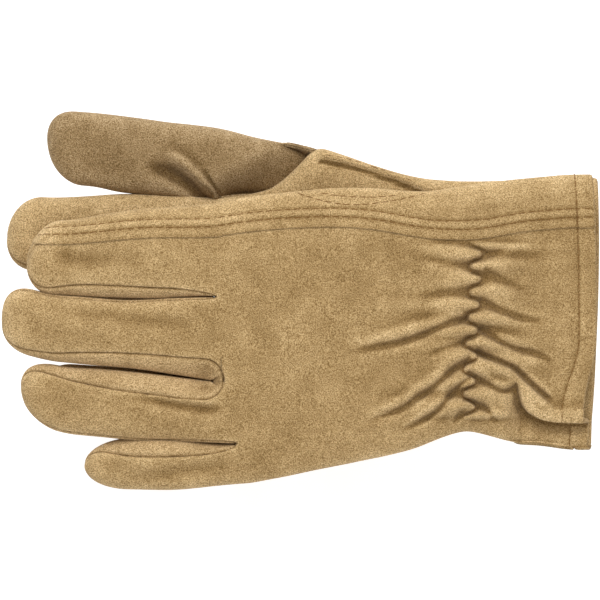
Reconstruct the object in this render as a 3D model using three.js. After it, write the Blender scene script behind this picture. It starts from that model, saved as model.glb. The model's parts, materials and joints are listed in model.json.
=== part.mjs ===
// A pair of suede work gloves, laid palm to palm: the right glove lies on its back with its palm up, and the
// left glove lies on it with its back up. Fingers point along -X, thumbs lie on the +Y side, +Z is up, and
// the origin is on the resting plane under the middle of the wrist. Every leather panel is a thin closed
// sheet, sewn to its neighbours along seams where this model leaves a narrow gap. Millimetres throughout.
import * as THREE from 'three';

// ---- Driving dimensions ----
const LEATHER = 1.2;            // split cowhide
const SEAM = 0.5;               // gap left at every seam and fold line
const LAP = LEATHER + SEAM;     // how far a panel sinks to pass under another
const THREAD_WIDTH = 0.9;
const THREAD_HEIGHT = 0.45;
const THREAD_LIFT = 0.45;       // clearance between a thread and the leather's ideal surface
const HALF_PALM = 8;            // half the height of a hand laid flat
const HALF_FINGER = 8.6;        // half the height of a finger stall
const ELASTIC_WIDTH = 8;
const SECTION_POWER = 2.6;      // 2 is an ellipse, higher is boxier
const SEAM_ANGLE = 42;          // where a side wall meets the back and the palm, in degrees round the section
const TIP_HOLE = 0.3;           // share of a stall's width left open where its panels meet at the tip
const TIP_HALF = 2.6;           // half the height left there
const FINGER_CLEARANCE = 0.9;   // taken off each side of a finger, so that neighbours pass each other
const CUFF_X = 49;
const WRIST_V = 0.29;           // where the elastic crosses, as a share of the way from cuff to knuckles

const TAN = new THREE.Color(0.62, 0.45, 0.25);
const DARK_TAN = new THREE.Color(0.50, 0.35, 0.19);
const BROWN = new THREE.Color(0.33, 0.19, 0.08);
const CREAM = new THREE.Color(0.80, 0.76, 0.66);
const suede = (color) => new THREE.MeshStandardMaterial({ color, roughness: 0.95, metalness: 0 });

// ---- Small helpers ----
const point = (x, y, z = 0) => new THREE.Vector3(x, y, z);
const outline = (pairs) => new THREE.CatmullRomCurve3(pairs.map(([x, y]) => point(x, y)));
const mix = THREE.MathUtils.lerp;
const ease = (x) => THREE.MathUtils.smoothstep(x, 0, 1);
const power = (x) => Math.sign(x) * Math.abs(x) ** (2 / SECTION_POWER);

// A closed sheet of even thickness whose outer face is surface(u, v). centre(v) is a point inside the
// section, which tells the outer face from the inner one.
function sheet(surface, centre, uSteps, vSteps, thickness = LEATHER) {
  const step = 1e-3;
  const outer = [];
  const inner = [];
  for (let j = 0; j <= vSteps; j++) {
    for (let i = 0; i <= uSteps; i++) {
      const [u, v] = [i / uSteps, j / vSteps];
      const at = surface(u, v);
      const along = surface(u, Math.min(v + step, 1)).sub(surface(u, Math.max(v - step, 0)));
      const round = surface(Math.min(u + step, 1), v).sub(surface(Math.max(u - step, 0), v));
      const normal = round.cross(along).normalize();
      if (normal.dot(at.clone().sub(centre(v))) < 0) normal.negate();
      outer.push(at);
      inner.push(at.clone().addScaledVector(normal, -thickness));
    }
  }
  return closedGrid(outer, inner, uSteps, vSteps);
}

// Joins two grids of points into one closed body: both faces and the four edges between them.
function closedGrid(outer, inner, uSteps, vSteps) {
  const width = uSteps + 1;
  const count = outer.length;
  const index = [];
  const quad = (a, b, c, d) => index.push(a, b, c, a, c, d);
  for (let j = 0; j < vSteps; j++) {
    for (let i = 0; i < uSteps; i++) {
      const a = j * width + i;
      quad(a, a + 1, a + 1 + width, a + width);
      quad(count + a, count + a + width, count + a + 1 + width, count + a + 1);
    }
    const [left, right] = [j * width, j * width + uSteps];
    quad(left, left + width, count + left + width, count + left);
    quad(right + width, right, count + right, count + right + width);
  }
  for (let i = 0; i < uSteps; i++) {
    const far = vSteps * width + i;
    quad(i + 1, i, count + i, count + i + 1);
    quad(far, far + 1, count + far + 1, count + far);
  }
  const geometry = new THREE.BufferGeometry().setFromPoints([...outer, ...inner]);
  geometry.setIndex(signedVolume([...outer, ...inner], index) < 0 ? index.reverse() : index);
  geometry.computeVertexNormals();
  return geometry;
}

function signedVolume(points, index) {
  let six = 0;
  for (let i = 0; i < index.length; i += 3) {
    const [a, b, c] = [points[index[i]], points[index[i + 1]], points[index[i + 2]]];
    six += a.dot(b.clone().cross(c));
  }
  return six;
}

// ---- Surfaces. angle: 0 is the thumb side, 90 the back of the hand, 180 the little-finger side, 270 the
// palm. up is +1 where the back faces up, and -1 where it faces down. ----

// A hand from cuff (v = 0) to knuckles (v = 1) as { at(angle, v, inset), centre(v) }.
function handSurface({ up, thumbSide, littleSide, middleZ, halfHeight }) {
  const knuckleBow = 4.5;
  const centre = (v) => {
    const middle = thumbSide.getPointAt(v).add(littleSide.getPointAt(v)).multiplyScalar(0.5);
    return middle.setZ(middleZ(v));
  };
  const at = (angle, v, inset = 0) => {
    const a = THREE.MathUtils.degToRad(angle);
    const side = power(Math.cos(a));
    const half = thumbSide.getPointAt(v).sub(littleSide.getPointAt(v)).multiplyScalar(0.5);
    const place = centre(v).addScaledVector(half, side * (1 - inset / half.length()));
    place.x -= knuckleBow * ease(v) * (1 - side * side);
    place.z += up * power(Math.sin(a)) * (halfHeight(v) - inset);
    return place.setZ(Math.max(place.z, inset));
  };
  return { at, centre };
}

// A finger or thumb stall from its base (s = 0) to its tip (s = 1) as { at(angle, s, inset), centre(s) }.
// Its width passes from the base's to halfWidth between the two shares of its length in taper.
function stallSurface({
  up, baseIn, baseOut, through, tip, halfWidth, halfHeight, baseZ, tipZ, round = 15, taper = [0, 0.75],
}) {
  const base = baseIn.clone().add(baseOut).multiplyScalar(0.5);
  const line = new THREE.QuadraticBezierCurve3(base, through ?? base.clone().lerp(tip, 0.5), tip);
  const length = line.getLength();
  const baseHalf = baseIn.clone().sub(baseOut).multiplyScalar(0.5);
  const baseWidth = baseHalf.length();
  const centre = (s) => line.getPoint(s).setZ(mix(baseZ, tipZ, ease(s * 2 - 1)));
  const at = (angle, s, inset = 0) => {
    const a = THREE.MathUtils.degToRad(angle);
    const settled = ease((s - taper[0]) / (taper[1] - taper[0]));
    const forward = line.getTangent(s);
    const square = point(forward.y, -forward.x).multiplyScalar(Math.sign(forward.y * baseHalf.x
      - forward.x * baseHalf.y));
    const across = baseHalf.clone().normalize().lerp(square, settled).normalize();
    const intoTip = Math.max(0, (s - 1) * length / round + 1);
    const rounding = Math.max(TIP_HOLE, Math.sqrt(1 - intoTip ** 2.4));
    const wide = (mix(baseWidth, halfWidth, settled) - FINGER_CLEARANCE) * rounding - inset;
    const high = Math.max(halfHeight * rounding, TIP_HALF) - inset;
    const place = centre(s).addScaledVector(across, power(Math.cos(a)) * wide);
    place.z += up * power(Math.sin(a)) * high;
    return place.setZ(Math.max(place.z, inset));
  };
  return { at, centre, line };
}

// ---- Panels ----
const towardTip = (v) => 1 - (1 - v) ** 1.7;   // puts more rows near a rounded tip

// The sheet over a list of columns, each an angle (or a function of v) that may be sunk under a neighbour,
// with rows from start to end placed by spacing.
function panel(surface, columns, { rows = 10, start = 0, end = 1, spacing = (v) => v } = {}) {
  const along = (v) => mix(start, end, spacing(v));
  const steps = columns.length - 1;
  const angleOf = ({ angle }, v) => (typeof angle === 'function' ? angle(v) : angle);
  const face = (u, v) => {
    const i = Math.min(Math.floor(u * steps), steps - 1);
    const [from, to, share] = [columns[i], columns[i + 1], u * steps - i];
    const angle = mix(angleOf(from, along(v)), angleOf(to, along(v)), share);
    return surface.at(angle, along(v), LAP * mix(from.sunk, to.sunk, share));
  };
  return sheet(face, (v) => surface.centre(along(v)), steps, rows);
}

// Evenly spaced columns from angle a to angle b; either may be a function of v.
function columns(a, b, steps) {
  const value = (angle, v) => (typeof angle === 'function' ? angle(v) : angle);
  return Array.from({ length: steps + 1 }, (_, i) => ({
    angle: (v) => mix(value(a, v), value(b, v), i / steps),
    sunk: 0,
  }));
}

// Columns that pass under a neighbour's raw edge and come up beyond it.
function lapColumns(edge, under, beyond, last, steps) {
  const offset = (degrees) => (v) => (typeof edge === 'function' ? edge(v) : edge) + degrees;
  const sunken = [-under, -under / 2, beyond / 3].map((d) => ({ angle: offset(d), sunk: 1 }));
  return [...sunken, ...columns(offset(beyond), last, steps)];
}

// Columns that end at such a raw edge, in step with the ones under them.
function wrapColumns(first, edge, over, steps) {
  const offset = (degrees) => (v) => 360 + (typeof edge === 'function' ? edge(v) : edge) + degrees;
  return [...columns(first, offset(-over), steps), ...columns(offset(-over / 2), offset(0), 1)];
}

// A thread laid on a surface along angle(t), v(t): a thin ribbon that stands clear of the leather.
function thread(surface, angle, v, steps) {
  const top = THREAD_LIFT + THREAD_HEIGHT;
  const spot = (t) => {
    const here = surface.at(angle(t), v(t));
    const aside = surface.at(angle(t) + 0.4, v(t)).sub(here).normalize();
    const ahead = surface.at(angle(t), Math.min(v(t) + 2e-3, 1)).sub(surface.at(angle(t), v(t) - 2e-3));
    const normal = aside.clone().cross(ahead).normalize();
    if (normal.dot(here.clone().sub(surface.centre(v(t)))) < 0) normal.negate();
    const forward = spotPath(surface, angle, v, t);
    const across = normal.clone().cross(forward).normalize();
    return { here, normal, across };
  };
  const face = (u, t) => {
    const { here, normal, across } = spot(t);
    return here.addScaledVector(normal, top).addScaledVector(across, (u - 0.5) * THREAD_WIDTH);
  };
  return sheet(face, (t) => surface.centre(v(t)), 1, steps, THREAD_HEIGHT);
}

function spotPath(surface, angle, v, t) {
  const [before, after] = [Math.max(t - 0.01, 0), Math.min(t + 0.01, 1)];
  return surface.at(angle(after), v(after)).sub(surface.at(angle(before), v(before))).normalize();
}

// ---- One glove ----
const WRAP_AT_CUFF = 57;        // angle of the palm panel's raw edge on the back of the hand
const WRAP_AT_KNUCKLE = 45;
const WRAP_ON_INDEX = 80;       // the same on the index finger
const HAND_SEAM = 190;          // angle of the seam down the little-finger side of the hand
const LITTLE_SEAM = 200;        // the same on the little finger
const KNUCKLE_GAP = 0.6;        // between a hand and its finger stalls
const ELASTIC_FROM = 66;        // angles the elastic runs between
const ELASTIC_TO = 168;
const PUCKERS = 3.5;            // waves of the zigzag that sews it on
const HEM_V = 0.085;            // where the hem is sewn, as a share of the way from cuff to knuckles

function glove(side, shape, root) {
  const { up, thumbSide, littleSide, middleZ, fingers, thumb } = shape;
  const add = (name, geometry, color = TAN) => {
    const mesh = new THREE.Mesh(geometry, suede(color));
    mesh.name = `${side}_${name}`;
    root.add(mesh);
  };
  const halfHeight = (v) => mix(HALF_PALM, HALF_FINGER, ease((v - 0.7) / 0.3));
  const hand = handSurface({ up, thumbSide, littleSide, middleZ, halfHeight });
  const wrapEdge = (v) => mix(WRAP_AT_CUFF, WRAP_AT_KNUCKLE, v);
  const halfGap = 0.7;          // of the side seam, in degrees
  const rows = 14;

  add('back_panel', panel(hand, lapColumns(wrapEdge, 14, 6, HAND_SEAM - halfGap, 9), { rows }));
  add('palm_panel', panel(hand, wrapColumns(HAND_SEAM + halfGap, wrapEdge, 14, 13), { rows }));
  addElastic(add, hand);
  addHandThreads(add, hand, wrapEdge);
  for (const finger of fingers) addFinger(add, finger, up);
  addThumb(add, thumb, up);
}

// The gathering elastic, sewn under the back panel across the wrist.
function addElastic(add, hand) {
  const width = ELASTIC_WIDTH / 160;    // as a share of the hand's length
  const depth = LAP + SEAM;
  const face = (u, v) => hand.at(mix(ELASTIC_FROM, ELASTIC_TO, u), WRIST_V + (v - 0.5) * width, depth);
  add('wrist_elastic', sheet(face, () => hand.centre(WRIST_V), 10, 1, 0.9), CREAM);
}

function addHandThreads(add, hand, wrapEdge) {
  const run = (t) => mix(0.015, 0.985, t);
  add('lap_thread_edge', thread(hand, (t) => wrapEdge(run(t)) - 3.5, run, 18), BROWN);
  add('lap_thread_inner', thread(hand, (t) => wrapEdge(run(t)) - 9, run, 18), BROWN);
  const thumbSeam = (t) => 4 + 29 * Math.sin(t * Math.PI);
  add('thumb_thread', thread(hand, thumbSeam, (t) => mix(0.44, 0.77, t), 16), BROWN);
  const across = (from) => (t) => mix(from, ELASTIC_TO - 2, t);
  add('hem_thread', thread(hand, across(62), () => HEM_V, 20), BROWN);
  const zigzag = (t) => WRIST_V + 0.022 * Math.sin(t * 2 * Math.PI * PUCKERS);
  add('elastic_thread', thread(hand, across(ELASTIC_FROM), zigzag, 42), BROWN);
}

// A finger stall: back and palm panels, and a fourchette wall on each side that faces another finger.
function addFinger(add, finger, up) {
  const { name } = finger;
  const surface = stallSurface({ up, halfHeight: HALF_FINGER, ...finger });
  const gap = 3;                // half a finger seam's gap, in degrees
  const options = { start: KNUCKLE_GAP / surface.line.getLength(), spacing: towardTip };
  const wall = (from, to) => panel(surface, columns(from + gap, to - gap, 2), options);
  const [near, far] = [SEAM_ANGLE, 180 - SEAM_ANGLE];
  const backEnd = finger.isLittle ? LITTLE_SEAM : far;
  const palmStart = finger.isLittle ? LITTLE_SEAM : 180 + SEAM_ANGLE;
  if (finger.isIndex) {
    add(`${name}_back`, panel(surface, lapColumns(WRAP_ON_INDEX, 30, 12, backEnd, 3), options));
    add(`${name}_palm`, panel(surface, wrapColumns(palmStart + gap, WRAP_ON_INDEX, 30, 6), options));
    const run = (t) => mix(0.03, 0.86, t);
    add(`${name}_lap_thread_edge`, thread(surface, () => WRAP_ON_INDEX - 10, run, 12), BROWN);
    add(`${name}_lap_thread_inner`, thread(surface, () => WRAP_ON_INDEX - 23, run, 12), BROWN);
  } else {
    add(`${name}_back`, panel(surface, columns(near, backEnd, 5), options));
    add(`${name}_palm`, panel(surface, columns(palmStart + gap, 360 - near, 5), options));
    add(`${name}_thumbside_fourchette`, wall(-near, near), DARK_TAN);
  }
  if (!finger.isLittle) add(`${name}_outer_fourchette`, wall(far, 180 + near), DARK_TAN);
}

// The thumb stall is cut in two pieces, sewn along both sides.
function addThumb(add, thumb, up) {
  const surface = stallSurface({ up, ...thumb });
  const gap = 4;
  add('thumb_back', panel(surface, columns(gap, 180 - gap, 6), { spacing: towardTip }), DARK_TAN);
  add('thumb_front', panel(surface, columns(180 + gap, 360 - gap, 6), { spacing: towardTip }), DARK_TAN);
}

// ---- Where each glove lies ----
// Crotches between the fingers, and the two ends of the knuckle line.
const CROTCH = {
  indexMiddle: point(-113, 1.3),
  middleRing: point(-109.7, -35.3),
  ringLittle: point(-104.1, -61.9),
};

function fingerRow(thumbEnd, littleEnd, tips, baseZ, tipZ) {
  const { indexMiddle, middleRing, ringLittle } = CROTCH;
  const spots = [thumbEnd, indexMiddle, middleRing, ringLittle, littleEnd];
  const names = ['index', 'middle', 'ring', 'little'];
  const halfWidths = [15.5, 14.4, 14.6, 11.2];
  const ahead = point(-KNUCKLE_GAP, 0);
  return names.map((name, i) => ({
    name,
    baseIn: spots[i].clone().add(ahead),
    baseOut: spots[i + 1].clone().add(ahead),
    tip: tips[i],
    halfWidth: halfWidths[i],
    baseZ,
    tipZ,
    taper: name === 'index' ? [0.3, 1] : [0, 0.5],
    isIndex: name === 'index',
    isLittle: name === 'little',
  }));
}

const LEFT_PALM_Z = 35.2;       // middle height of the upper glove's hand
const LEFT_TIP_Z = 28.6;        // its fingertips droop towards the lower glove's
const LEFT_CUFF_Z = 25.4;
const THUMB_FLAT = 7.6;         // height of the left thumb, pressed flat between the gloves
const BETWEEN_Z = 21.9;         // its middle height
const leftMiddle = (v) => mix(LEFT_CUFF_Z, LEFT_PALM_Z, ease((v - 0.1) / 0.35));
const leftKnuckles = [point(-115.2, 41.3), point(-98.9, -79.1)];
const left = {
  up: 1,
  thumbSide: outline([[CUFF_X, 54.6], [34, 54.2], [0, 50.3], [-21.5, 46.9], [-56, 48.6], [-94, 45.2],
    [-115.2, 41.3]]),
  littleSide: outline([[47.5, -64], [34, -63], [8.6, -58.5], [-4, -55.5], [-34, -61.5], [-56, -68.8],
    [-77, -74.4], [-98.9, -79.1]]),
  middleZ: leftMiddle,
  fingers: fingerRow(...leftKnuckles, [point(-194.4, 18), point(-205.1, -11), point(-197.8, -41.8),
    point(-170.3, -71.2)], LEFT_PALM_Z, LEFT_TIP_Z),
  // Folded under the palm, between the two gloves.
  thumb: {
    baseIn: point(-36, 35), baseOut: point(-62, 41), tip: point(-78, -61), halfWidth: 13.5,
    halfHeight: THUMB_FLAT / 2, baseZ: BETWEEN_Z, tipZ: BETWEEN_Z,
  },
};

const RIGHT_Z = 7.8;            // middle height of the lower glove's hand, pressed flat where it rests
const rightKnuckles = [point(-114, 44.6), point(-99.5, -76.5)];
const right = {
  up: -1,
  thumbSide: outline([[50.5, 53.5], [34, 53.4], [0, 50.3], [-21.5, 51.6], [-47, 58], [-72, 63], [-88, 50],
    [-100, 46], [-114, 44.6]]),
  littleSide: outline([[48, -61], [34, -60], [8.6, -55.5], [-4, -53], [-34, -58.5], [-56, -65.8],
    [-77, -71.6], [-99.5, -76.5]]),
  middleZ: () => RIGHT_Z,
  fingers: fingerRow(...rightKnuckles, [point(-203, 29.7), point(-199, -8.5), point(-192, -41),
    point(-165, -72)], RIGHT_Z, HALF_FINGER),
  // Spread out beside the hand.
  thumb: {
    baseIn: point(-75.5, 64.5), baseOut: point(-91.5, 49.5), through: point(-131, 59.5), tip: point(-186, 67.5),
    halfWidth: 16.6, halfHeight: 8.4, baseZ: RIGHT_Z, tipZ: RIGHT_Z, round: 17, taper: [0, 0.4],
  },
};

const gloves = new THREE.Group();
glove('right', right, gloves);
glove('left', left, gloves);

export default gloves;
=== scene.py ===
"""The looks of a pair of split-suede work gloves laid palm to palm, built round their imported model.

Each glove is a set of thin leather sheets. Every sheet is a grid of points on one of two surfaces, the hand
or a finger stall, both measured from the model's own solids. Dents, creases and gathers are then pressed
into the points, and each grid is given its thickness. Lengths here are in millimetres until a mesh is made.
"""

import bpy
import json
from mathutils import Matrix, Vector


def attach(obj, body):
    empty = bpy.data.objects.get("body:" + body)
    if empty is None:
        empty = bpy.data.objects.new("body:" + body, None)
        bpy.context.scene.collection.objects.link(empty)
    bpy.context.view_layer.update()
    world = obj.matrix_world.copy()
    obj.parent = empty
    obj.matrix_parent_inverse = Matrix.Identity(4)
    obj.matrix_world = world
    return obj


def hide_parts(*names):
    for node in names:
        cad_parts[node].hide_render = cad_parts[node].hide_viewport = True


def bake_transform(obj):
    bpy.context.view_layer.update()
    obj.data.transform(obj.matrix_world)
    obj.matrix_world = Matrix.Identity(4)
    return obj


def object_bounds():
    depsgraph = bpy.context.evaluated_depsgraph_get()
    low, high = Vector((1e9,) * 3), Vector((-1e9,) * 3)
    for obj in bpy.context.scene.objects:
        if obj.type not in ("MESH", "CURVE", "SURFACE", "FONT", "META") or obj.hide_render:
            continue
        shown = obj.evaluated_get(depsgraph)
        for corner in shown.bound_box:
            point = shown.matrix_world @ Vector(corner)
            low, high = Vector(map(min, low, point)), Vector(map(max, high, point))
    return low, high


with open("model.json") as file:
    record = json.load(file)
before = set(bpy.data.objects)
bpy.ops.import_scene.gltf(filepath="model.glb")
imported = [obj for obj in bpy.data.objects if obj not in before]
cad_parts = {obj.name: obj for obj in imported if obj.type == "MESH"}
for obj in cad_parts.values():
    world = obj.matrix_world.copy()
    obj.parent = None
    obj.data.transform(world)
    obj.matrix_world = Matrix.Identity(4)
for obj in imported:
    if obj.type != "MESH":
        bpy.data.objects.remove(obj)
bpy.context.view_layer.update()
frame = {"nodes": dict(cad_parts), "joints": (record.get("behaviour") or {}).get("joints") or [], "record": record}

import json
import math

import bpy
import numpy as np

MM = 1000.0
LEATHER = 1.2               # thickness of the suede
SECTION_POWER = 2.8         # 2 is an ellipse, higher is boxier
TOUCH_GAP = 0.06            # air left between neighbouring fingers, on each side
KNUCKLE_GAP = 0.6           # the model's gap between a hand and a finger
CLEARANCE = 0.9             # what the model takes off each side of a finger
LAP_LIFT = 0.95             # how far the wrapped palm leather stands above the back it is lapped over
LAP_UNDER = 9.0             # how far the back runs on under it
GRID = 0.85                 # spacing of the points on the leather
RIM = 3                     # points that round off a cut edge
FLAT_LEVEL = 0.7            # the lower glove's leather is pressed flat below this height
FINGERS = ["index", "middle", "ring", "little"]
SIDE_SEAM = 190.0           # angle of the seam on the little-finger side


# ---------------------------------------------------------------- small helpers
def mix(a, b, t):
    return a + (b - a) * t


def ease(x):
    x = np.clip(x, 0.0, 1.0)
    return x * x * (3 - 2 * x)


def bell(x, width):
    return np.exp(-(x / width) ** 2)


def along_table(table, x):
    """A smooth run through a short table of (place, value) pairs."""
    places, values = np.array(table, float).T
    fine = np.linspace(places[0], places[-1], 200)
    rough = np.interp(fine, places, values)
    return np.interp(x, fine, soften(rough, 7))


def soften(values, reach):
    """Evens out a row of values, keeping its ends where they are."""
    kernel = bell(np.arange(-3 * reach, 3 * reach + 1), reach)
    kernel /= kernel.sum()
    n = min(3 * reach, len(values) - 1)
    head = 2 * values[0] - values[n:0:-1]
    tail = 2 * values[-1] - values[-2:-n - 2:-1]
    padded = np.concatenate([head, values, tail])
    if n < 3 * reach:
        padded = np.pad(padded, 3 * reach - n, mode="edge")
    return np.convolve(padded, kernel, mode="valid")


def walked(points):
    """The distance walked along a line of points, or along each row of a grid, from 0."""
    steps = np.linalg.norm(np.diff(points, axis=-2), axis=-1)
    return np.concatenate([np.zeros_like(steps[..., :1]), np.cumsum(steps, axis=-1)], axis=-1)


def unit(vectors):
    return vectors / np.maximum(np.linalg.norm(vectors, axis=-1, keepdims=True), 1e-9)


def section(angle):
    """(across, height) on a rounded section of half-width 1 and half-height 1.

    0 is the thumb side and 90 the back.
    """
    a = np.radians(angle)
    c, s = np.cos(a), np.sin(a)
    power = 2 / SECTION_POWER
    return np.sign(c) * np.abs(c) ** power, np.sign(s) * np.abs(s) ** power


def angle_at(across):
    """The angle, on the back half of the section, of a place across it from -1 to 1."""
    across = np.asarray(across, float)
    a = np.degrees(np.arccos(np.clip(np.abs(across), 0, 1) ** (SECTION_POWER / 2)))
    return np.where(across >= 0, a, 180 - a)


class Ring:
    """The section walked at even speed, so that points can be spread evenly round it."""

    def __init__(self, aspect):
        self.angle = 45 * (1 - np.cos(np.linspace(0, np.pi, 600)))
        across, height = section(self.angle)
        steps = np.hypot(np.diff(across) * aspect, np.diff(height))
        self.walk = np.concatenate([[0], np.cumsum(steps)]) / steps.sum()

    def to_walk(self, angle):
        quarter, rest = np.divmod(angle, 90.0)
        straight = np.interp(rest, self.angle, self.walk)
        mirrored = 1 - np.interp(90 - rest, self.angle, self.walk)
        return quarter + np.where(quarter % 2 == 0, straight, mirrored)

    def to_angle(self, walk):
        quarter, rest = np.divmod(walk, 1.0)
        straight = np.interp(rest, self.walk, self.angle)
        mirrored = 90 - np.interp(1 - rest, self.walk, self.angle)
        return quarter * 90 + np.where(quarter % 2 == 0, straight, mirrored)

    def between(self, first, last, share):
        return self.to_angle(mix(self.to_walk(first), self.to_walk(last), share))


HAND_RING = Ring(7.0)
FINGER_RING = Ring(1.75)
THUMB_RING = Ring(2.0)


def columns(length, spacing):
    """Shares from 0 to 1, closer together at both ends, where a seam's edge rolls in."""
    edge = np.array([0, 0.3, 0.7, 1.2]) / length
    count = max(3, round(length / spacing))
    middle = np.linspace(edge[-1], 1 - edge[-1], count)[1:-1]
    return np.concatenate([edge, middle, 1 - edge[::-1]])


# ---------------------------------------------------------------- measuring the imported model
class Solid:
    """Some CAD nodes as points and edges, in millimetres."""

    def __init__(self, names):
        points, edges, count = [], [], 0
        for name in names:
            mesh = frame["nodes"][name].data
            co = np.empty(len(mesh.vertices) * 3)
            mesh.vertices.foreach_get("co", co)
            pairs = np.empty(len(mesh.edges) * 2, int)
            mesh.edges.foreach_get("vertices", pairs)
            points.append(co.reshape(-1, 3) * MM)
            edges.append(pairs.reshape(-1, 2) + count)
            count += len(mesh.vertices)
        self.points = np.vstack(points)
        self.edges = np.vstack(edges)

    def cut(self, origin, ahead, distance):
        """Where the edges cross the plane that lies a distance ahead of origin."""
        a, b = self.points[self.edges[:, 0]], self.points[self.edges[:, 1]]
        da = (a - origin) @ ahead - distance
        db = (b - origin) @ ahead - distance
        hit = da * db < 0
        t = (da / np.where(hit, da - db, 1))[hit, None]
        return a[hit] + (b[hit] - a[hit]) * t


def body_solid(body):
    nodes = frame["record"]["behaviour"]["bodies"][body]
    return Solid([node for node in nodes if "thread" not in node and "elastic" not in node])


def joint_of(body):
    return next(j for j in frame["joints"] if j["child"] == body)


# ---------------------------------------------------------------- relief: what is pressed into the leather
class Path:
    """A smooth open line in plan, with each point's distance and side."""

    def __init__(self, points):
        p = np.array(points, float)
        p = np.vstack([2 * p[0] - p[1], p, 2 * p[-1] - p[-2]])
        run = []
        for i in range(1, len(p) - 2):
            for t in np.linspace(0, 1, 9)[:-1]:
                a, b, c, d = p[i - 1:i + 3]
                run.append(0.5 * (2 * b + (c - a) * t + (2 * a - 5 * b + 4 * c - d) * t**2
                                  + (3 * b - a - 3 * c + d) * t**3))
        self.points = np.array(run + [p[-2]])
        steps = np.linalg.norm(np.diff(self.points, axis=0), axis=1)
        self.run = np.concatenate([[0], np.cumsum(steps)])

    def measure(self, x, y):
        """(signed distance, share along the line). Positive is to the left of the line's direction."""
        best = np.full(x.shape, 1e9)
        signed = np.zeros(x.shape)
        share = np.zeros(x.shape)
        for i in range(len(self.points) - 1):
            a, b = self.points[i], self.points[i + 1]
            d = b - a
            length = np.linalg.norm(d)
            t = np.clip(((x - a[0]) * d[0] + (y - a[1]) * d[1]) / length**2, 0, 1)
            dx, dy = x - a[0] - t * d[0], y - a[1] - t * d[1]
            distance = np.hypot(dx, dy)
            closer = distance < best
            best = np.where(closer, distance, best)
            side = np.sign(d[0] * dy - d[1] * dx)
            signed = np.where(closer, side * distance, signed)
            share = np.where(closer, (self.run[i] + t * length) / self.run[-1], share)
        return signed, share


class Crease:
    """A groove along a line, with a soft roll of leather standing up on its left or right side."""

    def __init__(self, points, depth, width, roll=0.0, roll_width=3.0, side=1, fade=(0.15, 0.35)):
        self.path, self.depth, self.width = Path(points), depth, width
        self.roll, self.roll_width, self.side, self.fade = roll, roll_width, side, fade
        reach = 4 * max(width, roll_width) + 2
        low, high = self.path.points.min(0) - reach, self.path.points.max(0) + reach
        self.box = (*low, *high)

    def height(self, x, y):
        inside = (x > self.box[0]) & (x < self.box[2]) & (y > self.box[1]) & (y < self.box[3])
        out = np.zeros(x.shape)
        if not inside.any():
            return out
        distance, share = self.path.measure(x[inside], y[inside])
        start, end = self.fade
        strength = ease(share / max(start, 1e-6)) * ease((1 - share) / max(end, 1e-6))
        offset = distance * self.side
        groove = -self.depth * bell(distance, self.width)
        roll = self.roll * bell(offset - 1.1 * self.roll_width, self.roll_width)
        out[inside] = strength * (groove + roll)
        return out


def ripple(x, y):
    """The slight unevenness of soft leather that lies by itself."""
    waves = [(0.071, 0.043, 0.4, 0.32), (-0.052, 0.098, 2.1, 0.26), (0.131, 0.067, 4.2, 0.16),
             (0.036, -0.151, 1.3, 0.15), (-0.187, 0.122, 3.3, 0.09), (0.243, 0.171, 5.1, 0.06)]
    return sum(size * np.sin(kx * x + ky * y + phase) for kx, ky, phase, size in waves)


# The gathered wrist. The origin of the frame is the middle of the wrist.
GATHER_PITCH = 10.95        # along the elastic, from one pucker to the next
GATHER_SWING = 2.8          # of the zigzag stitching, each way
GATHER_FIRST = 19.8         # where the first pucker lies across the hand
GATHER_DEPTH = 1.7
GATHER_LOBE = 1.7
ELASTIC_X = -4.4            # the middle of the tape sewn inside, along the hand


def gather_phase(y):
    return 2 * np.pi * (GATHER_FIRST - y) / GATHER_PITCH


def gather_line(y):
    """Where the zigzag runs, for each place across the hand. Its turns are broad and its crossings steep."""
    wave = np.tanh(1.6 * np.cos(gather_phase(y))) / np.tanh(1.6)
    return mix(-1.8, -4.7, ease((22 - y) / 62)) + GATHER_SWING * wave


GATHERS = Path([(gather_line(y), y) for y in np.linspace(25, -52, 66)])


def gathers(x, y, first, last):
    """The puckers, between two places across the hand."""
    height = np.zeros(x.shape)
    near = (np.abs(x) < 45) & (y > last - 2) & (y < first + 2)
    x, y = x[near], y[near]
    over = ease((first + 1.5 - y) / 3) * ease((y - last + 1.5) / 3)
    away = GATHERS.measure(x, y)[0]
    number = gather_phase(y) / (2 * np.pi)
    uneven = 1 + 0.3 * np.sin(2.4 * number + 1) + 0.2 * np.sin(5.1 * number + np.sign(away))
    reach = 11 + 5 * np.sin(1.7 * number + 2 * np.sign(away))
    lobes = -np.tanh(away / 1.0) * np.cos(gather_phase(y)) * GATHER_LOBE * uneven
    lobes *= np.exp(-(np.abs(away) / reach) ** 1.4)
    puff = 1.8 * bell(np.abs(away) - 8, 8)
    pinch = -GATHER_DEPTH * bell(away, 0.95)
    height[near] = over * (lobes + pinch + puff)
    return height


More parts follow.
